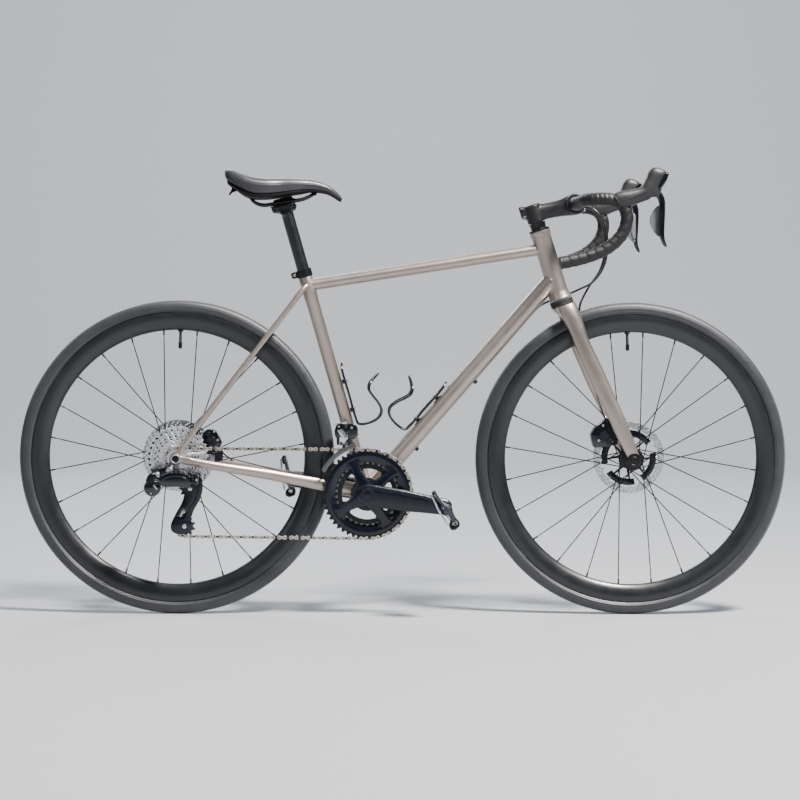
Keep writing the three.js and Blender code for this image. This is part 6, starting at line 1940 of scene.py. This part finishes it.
# The arched cover that the outer link carries over the whole parallelogram.
arch = [(-531, 296), (-529, 308), (-519, 315.5), (-500, 318), (-482, 317), (-470, 313.5), (-463.5, 305),
        (-462, 294), (-466, 286),
        (-476, 283.5), (-492, 287), (-510, 286), (-524, 287)]
cover = stamped([rounded(arch, 8, 6)], -119.5, -115.6, 1.8, 4)
cover_rib = sweep(spline([(-526, -119.8, 300), (-514, -120.2, 307), (-496, -120.2, 309.5),
                          (-479, -120.2, 307), (-469, -119.8, 298)], 8),
                  1.5, 12)
piece("rd_link_cover", Shell(cover, cover_rib), GLOSS, OUTER_LINK, sharp=36)
derailleur_link(INNER_ROOT, 3.4, "rd_inner_link_body", INNER_LINK, BLACK)

ck = Shell(turned([(4.4, -78.0), (11.4, -78.0), (12.0, -78.8), (12.0, -84.6), (11.0, -86), (9.6, -86.4),
                   (4.4, -86.4)],
                  CAGE_PIVOT, sides=44, closed=True))
ck.add(stamped([rounded([(-456, 290), (-450, 288.6), (-447.6, 296), (-448.6, 310), (-452, 314),
                         (-456, 311)], 3, 4)],
               -107.5, -78.4, 2.2, 3))
for root in (OUTER_ROOT, INNER_ROOT):
    at = root + LINK
    for side in (-1, 1):
        lug = at + LINK_AXIS * side * 7.6
        ck.add(rod(lug - LINK_AXIS * 1.3, lug + LINK_AXIS * 1.3, 3.8, sides=28, soft=0.5))
        inward = 5.0 if root is OUTER_ROOT else 0.0     # keeps the outer arms clear of the cover when shifted
        ck.add(sweep([lug + (0, inward * 0.4, 0), (lug + (-455, lug[1] + 2 * inward, lug[2])) / 2,
                      (-455, lug[1] + inward, lug[2])], (1.9, 1.2), 14, up=LINK_AXIS))
piece("rd_cage_knuckle_body", ck, GLOSS, CAGE_KNUCKLE, CAGE_KNUCKLE, sharp=32)
ck_pins = Shell()
for root in (OUTER_ROOT, INNER_ROOT):
    at = root + LINK
    ck_pins.add(rod(at - LINK_AXIS * 8.0, at + LINK_AXIS * 9.4, 2.0, sides=20, soft=0.5))
ck_pins.add(bolt((-452.0, -107.2, 301), -ACROSS, 2.6, 1.6))
piece("rd_cage_knuckle_pins", ck_pins, SILVER, CAGE_KNUCKLE)

# Cage plates, drawn before the cage settles, then turned with the pulleys about the cage's pivot.
down, settled = TENSION - CAGE_PIVOT, np.array([-19.0, 0, -104.0])
CAGE_SWING = math.degrees(math.atan2(settled[2], settled[0]) - math.atan2(down[2], down[0]))
CAGE_OUTER = [(-481, 292), (-476, 307), (-463, 314), (-449, 309), (-441, 297), (-441, 276), (-448, 256),
              (-464, 232), (-471, 214),
              (-469, 200), (-476, 187), (-488, 183), (-504, 183), (-515, 190), (-516, 204), (-503, 228),
              (-488, 250), (-481, 270)]
CAGE_INNER = [(-479, 280), (-470, 291), (-459, 284), (-462, 260), (-474, 199), (-486, 188), (-497, 198),
              (-488, 240), (-480, 268)]


def settled_cage(shape):
    """A shape drawn on the upright cage, turned to where the cage rests."""
    return spun(shape, CAGE_SWING, CAGE_PIVOT)


window = rounded([(-497, 220), (-489, 217), (-481, 231), (-486, 237)], 2.5, 4)[::-1]
cage_shell = Shell(settled_cage(stamped([rounded(CAGE_OUTER, 9, 6), window], -76.2, -73.6, 0.9, 2)))
cage_shell.add(settled_cage(sweep(spline([(-456, -76.4, 300), (-450, -76.6, 282), (-457, -76.6, 258),
                                          (-472, -76.6, 236),
                                          (-484, -76.4, 214)], 8), np.linspace(2.6, 1.4, 33), 12)))
cage_shell.add(settled_cage(stamped([rounded(CAGE_INNER, 8, 6),
                                     rounded([(-473, 262), (-466, 264), (-474, 226), (-481, 228)], 3,
                                             4)[::-1]], -58.2, -56.3,
                                    0.6, 2)))
cage_shell.add(turned([(0.1, -82), (4.0, -82), (4.0, -77.2), (9.0, -77.0), (9.6, -76.2), (9.6, -74)],
                      CAGE_PIVOT, sides=40))
piece("rd_cage_plates", cage_shell, SPIDER, CAGE_BODY, CAGE_BODY, sharp=30)
cage_bright = Shell()
for pulley in (GUIDE, TENSION):
    spot = pulley * (1, 0, 1)
    cage_bright.add(rod(spot - ACROSS * 76, spot - ACROSS * 57, 2.6, sides=24))
    cage_bright.add(bolt(spot - ACROSS * 76.0, -ACROSS, 4.6, 1.6))
piece("rd_cage_bolts", cage_bright, SILVER, CAGE_BODY)


def pulley_shapes(centre):
    """A toothed pulley with five holes, and its bearing."""
    holes = [circle2(3.2, 30)] + [circle2(2.1, 14, 12.2 * math.cos(k * TURN / 5),
                                          12.2 * math.sin(k * TURN / 5))
                                  for k in range(5)]
    wheel = stamped([teeth_outline(11, tip=0.3, root=4.4, samples=8)] + holes, COG_Y - 1.15, COG_Y + 1.15,
                    0.3, 2)
    hub = turned(ring_profile(3.1, 8.2, COG_Y - 3.0, COG_Y + 3.0, 0.5), sides=40, closed=True)
    return moved(wheel, centre * (1, 0, 1)), moved(hub, centre * (1, 0, 1))


for label, centre in (("guide", GUIDE), ("tension", TENSION)):
    wheel, hub = pulley_shapes(centre)
    piece(label + "_pulley_teeth", Shell(wheel), PLASTIC, label + "_pulley",
          label + "_pulley", sharp=34)
    piece(label + "_pulley_bearing", Shell(hub), GREY_METAL, label + "_pulley")

# ------------------------------------------------------------------ camera, floor and light


CAMERA_PLACE, CAMERA_ANGLES = (-0.196, -5.182, 0.653), (2.04, 2.01, 0.32)     # metres; yaw, pitch and roll
CAMERA_LENS = 106.2
FLOOR_REACH, CURVE_START, CURVE_RADIUS = 24, 5, 3     # metres


def make_camera():
    """The photograph's view: a long lens, low and level, square to the bicycle's right side."""
    yaw, pitch, roll = (math.radians(a) for a in CAMERA_ANGLES)
    forward = Vector((math.sin(yaw) * math.cos(pitch), math.cos(yaw) * math.cos(pitch), -math.sin(pitch)))
    right = Vector((math.cos(yaw), -math.sin(yaw), 0))
    up = right.cross(forward)
    right_rolled = right * math.cos(roll) + up * math.sin(roll)
    up_rolled = up * math.cos(roll) - right * math.sin(roll)
    data = bpy.data.cameras.new("camera")
    data.lens, data.sensor_width = CAMERA_LENS, 36.0
    data.clip_start, data.clip_end = 0.1, 60.0
    camera = shown("camera", data)
    turn = Matrix((right_rolled, up_rolled, -forward)).transposed()
    camera.matrix_world = Matrix.Translation(CAMERA_PLACE) @ turn.to_4x4()
    bpy.context.scene.camera = camera


def make_stage():
    """A pale floor that curves up into a backdrop behind the bicycle."""
    look = Look("floor_pale", Specular_IOR_Level=0.3)
    base = linear(150, 152, 156)
    look.colour(look.ramp(look.noise(160, 6.0), shade(base, 0.97), shade(base, 1.03)))
    look.roughness(look.between(look.noise(30, 4.0), 0.62, 0.75))
    look.bump(look.noise(420, 4.0), 0.06, 0.0006)
    profile = [(-FLOOR_REACH, 0), (-9, 0), (-3, 0), (0, 0), (3, 0), (CURVE_START, 0)]
    profile += [(CURVE_START + CURVE_RADIUS * math.sin(a), CURVE_RADIUS - CURVE_RADIUS * math.cos(a))
                for a in np.radians(np.linspace(8, 90, 12))]
    profile += [(CURVE_START + CURVE_RADIUS, 5), (CURVE_START + CURVE_RADIUS, 9)]
    verts = [(x, y, z) for y, z in profile for x in (-FLOOR_REACH, 0, FLOOR_REACH)]
    faces = [(3 * i + k, 3 * i + k + 1, 3 * i + k + 4,
              3 * i + k + 3) for i in range(len(profile) - 1) for k in (0, 1)]
    mesh = bpy.data.meshes.new("floor")
    mesh.from_pydata(verts, [], faces)
    mesh.materials.append(look.material)
    mesh.shade_smooth()
    floor = shown("floor", mesh)


def add_lamp(name, place, aim, size, power, colour=(1, 1, 1)):
    """A soft rectangular lamp that looks at a point."""
    data = bpy.data.lights.new(name, "AREA")
    data.shape, data.size, data.size_y = "RECTANGLE", size[0], size[1]
    data.energy, data.color = power, colour
    lamp = shown(name, data)
    lamp.location = place
    lamp.rotation_mode = "QUATERNION"
    lamp.rotation_quaternion = (Vector(aim) - Vector(place)).to_track_quat("-Z", "Y")


def make_light():
    """A dim sky that brightens upward, a key lamp from the front right and three weaker ones."""
    world = bpy.data.worlds.new("studio")
    bpy.context.scene.world = world
    world.use_nodes = True
    tree = world.node_tree
    background = tree.nodes["Background"]
    place = tree.nodes.new("ShaderNodeTexCoord")
    split = tree.nodes.new("ShaderNodeSeparateXYZ")
    ramp = tree.nodes.new("ShaderNodeValToRGB")
    tree.links.new(place.outputs["Generated"], split.inputs[0])
    tree.links.new(split.outputs[2], ramp.inputs[0])
    tree.links.new(ramp.outputs[0], background.inputs["Color"])
    stops = ramp.color_ramp.elements
    stops[0].position, stops[0].color = 0.0, (0.1, 0.105, 0.115, 1)
    stops[1].position, stops[1].color = 1.0, (0.72, 0.86, 1.0, 1)
    for at, grey in ((0.14, 0.13), (0.34, 0.6)):
        stop = stops.new(at)
        stop.color = (grey * 0.86, grey * 0.94, grey * 1.04, 1)
    background.inputs["Strength"].default_value = 0.54
    add_lamp("key", (2.3, -2.3, 5.4), (0, 0, 0.45), (1.1, 1.1), 1700, (1.0, 0.97, 0.93))
    add_lamp("side", (-4.2, -3.6, 2.6), (0, 0, 0.5), (0.9, 2.6), 20, (0.93, 0.96, 1.0))
    add_lamp("back", (-1.5, 4.2, 3.4), (0, 0, 0.5), (3.0, 1.0), 110, (0.95, 0.98, 1.0))
    add_lamp("backdrop", (0, 3.4, 5.5), (0, 7.5, 1.2), (7.0, 1.0), 420)


make_camera()
make_stage()
make_light()
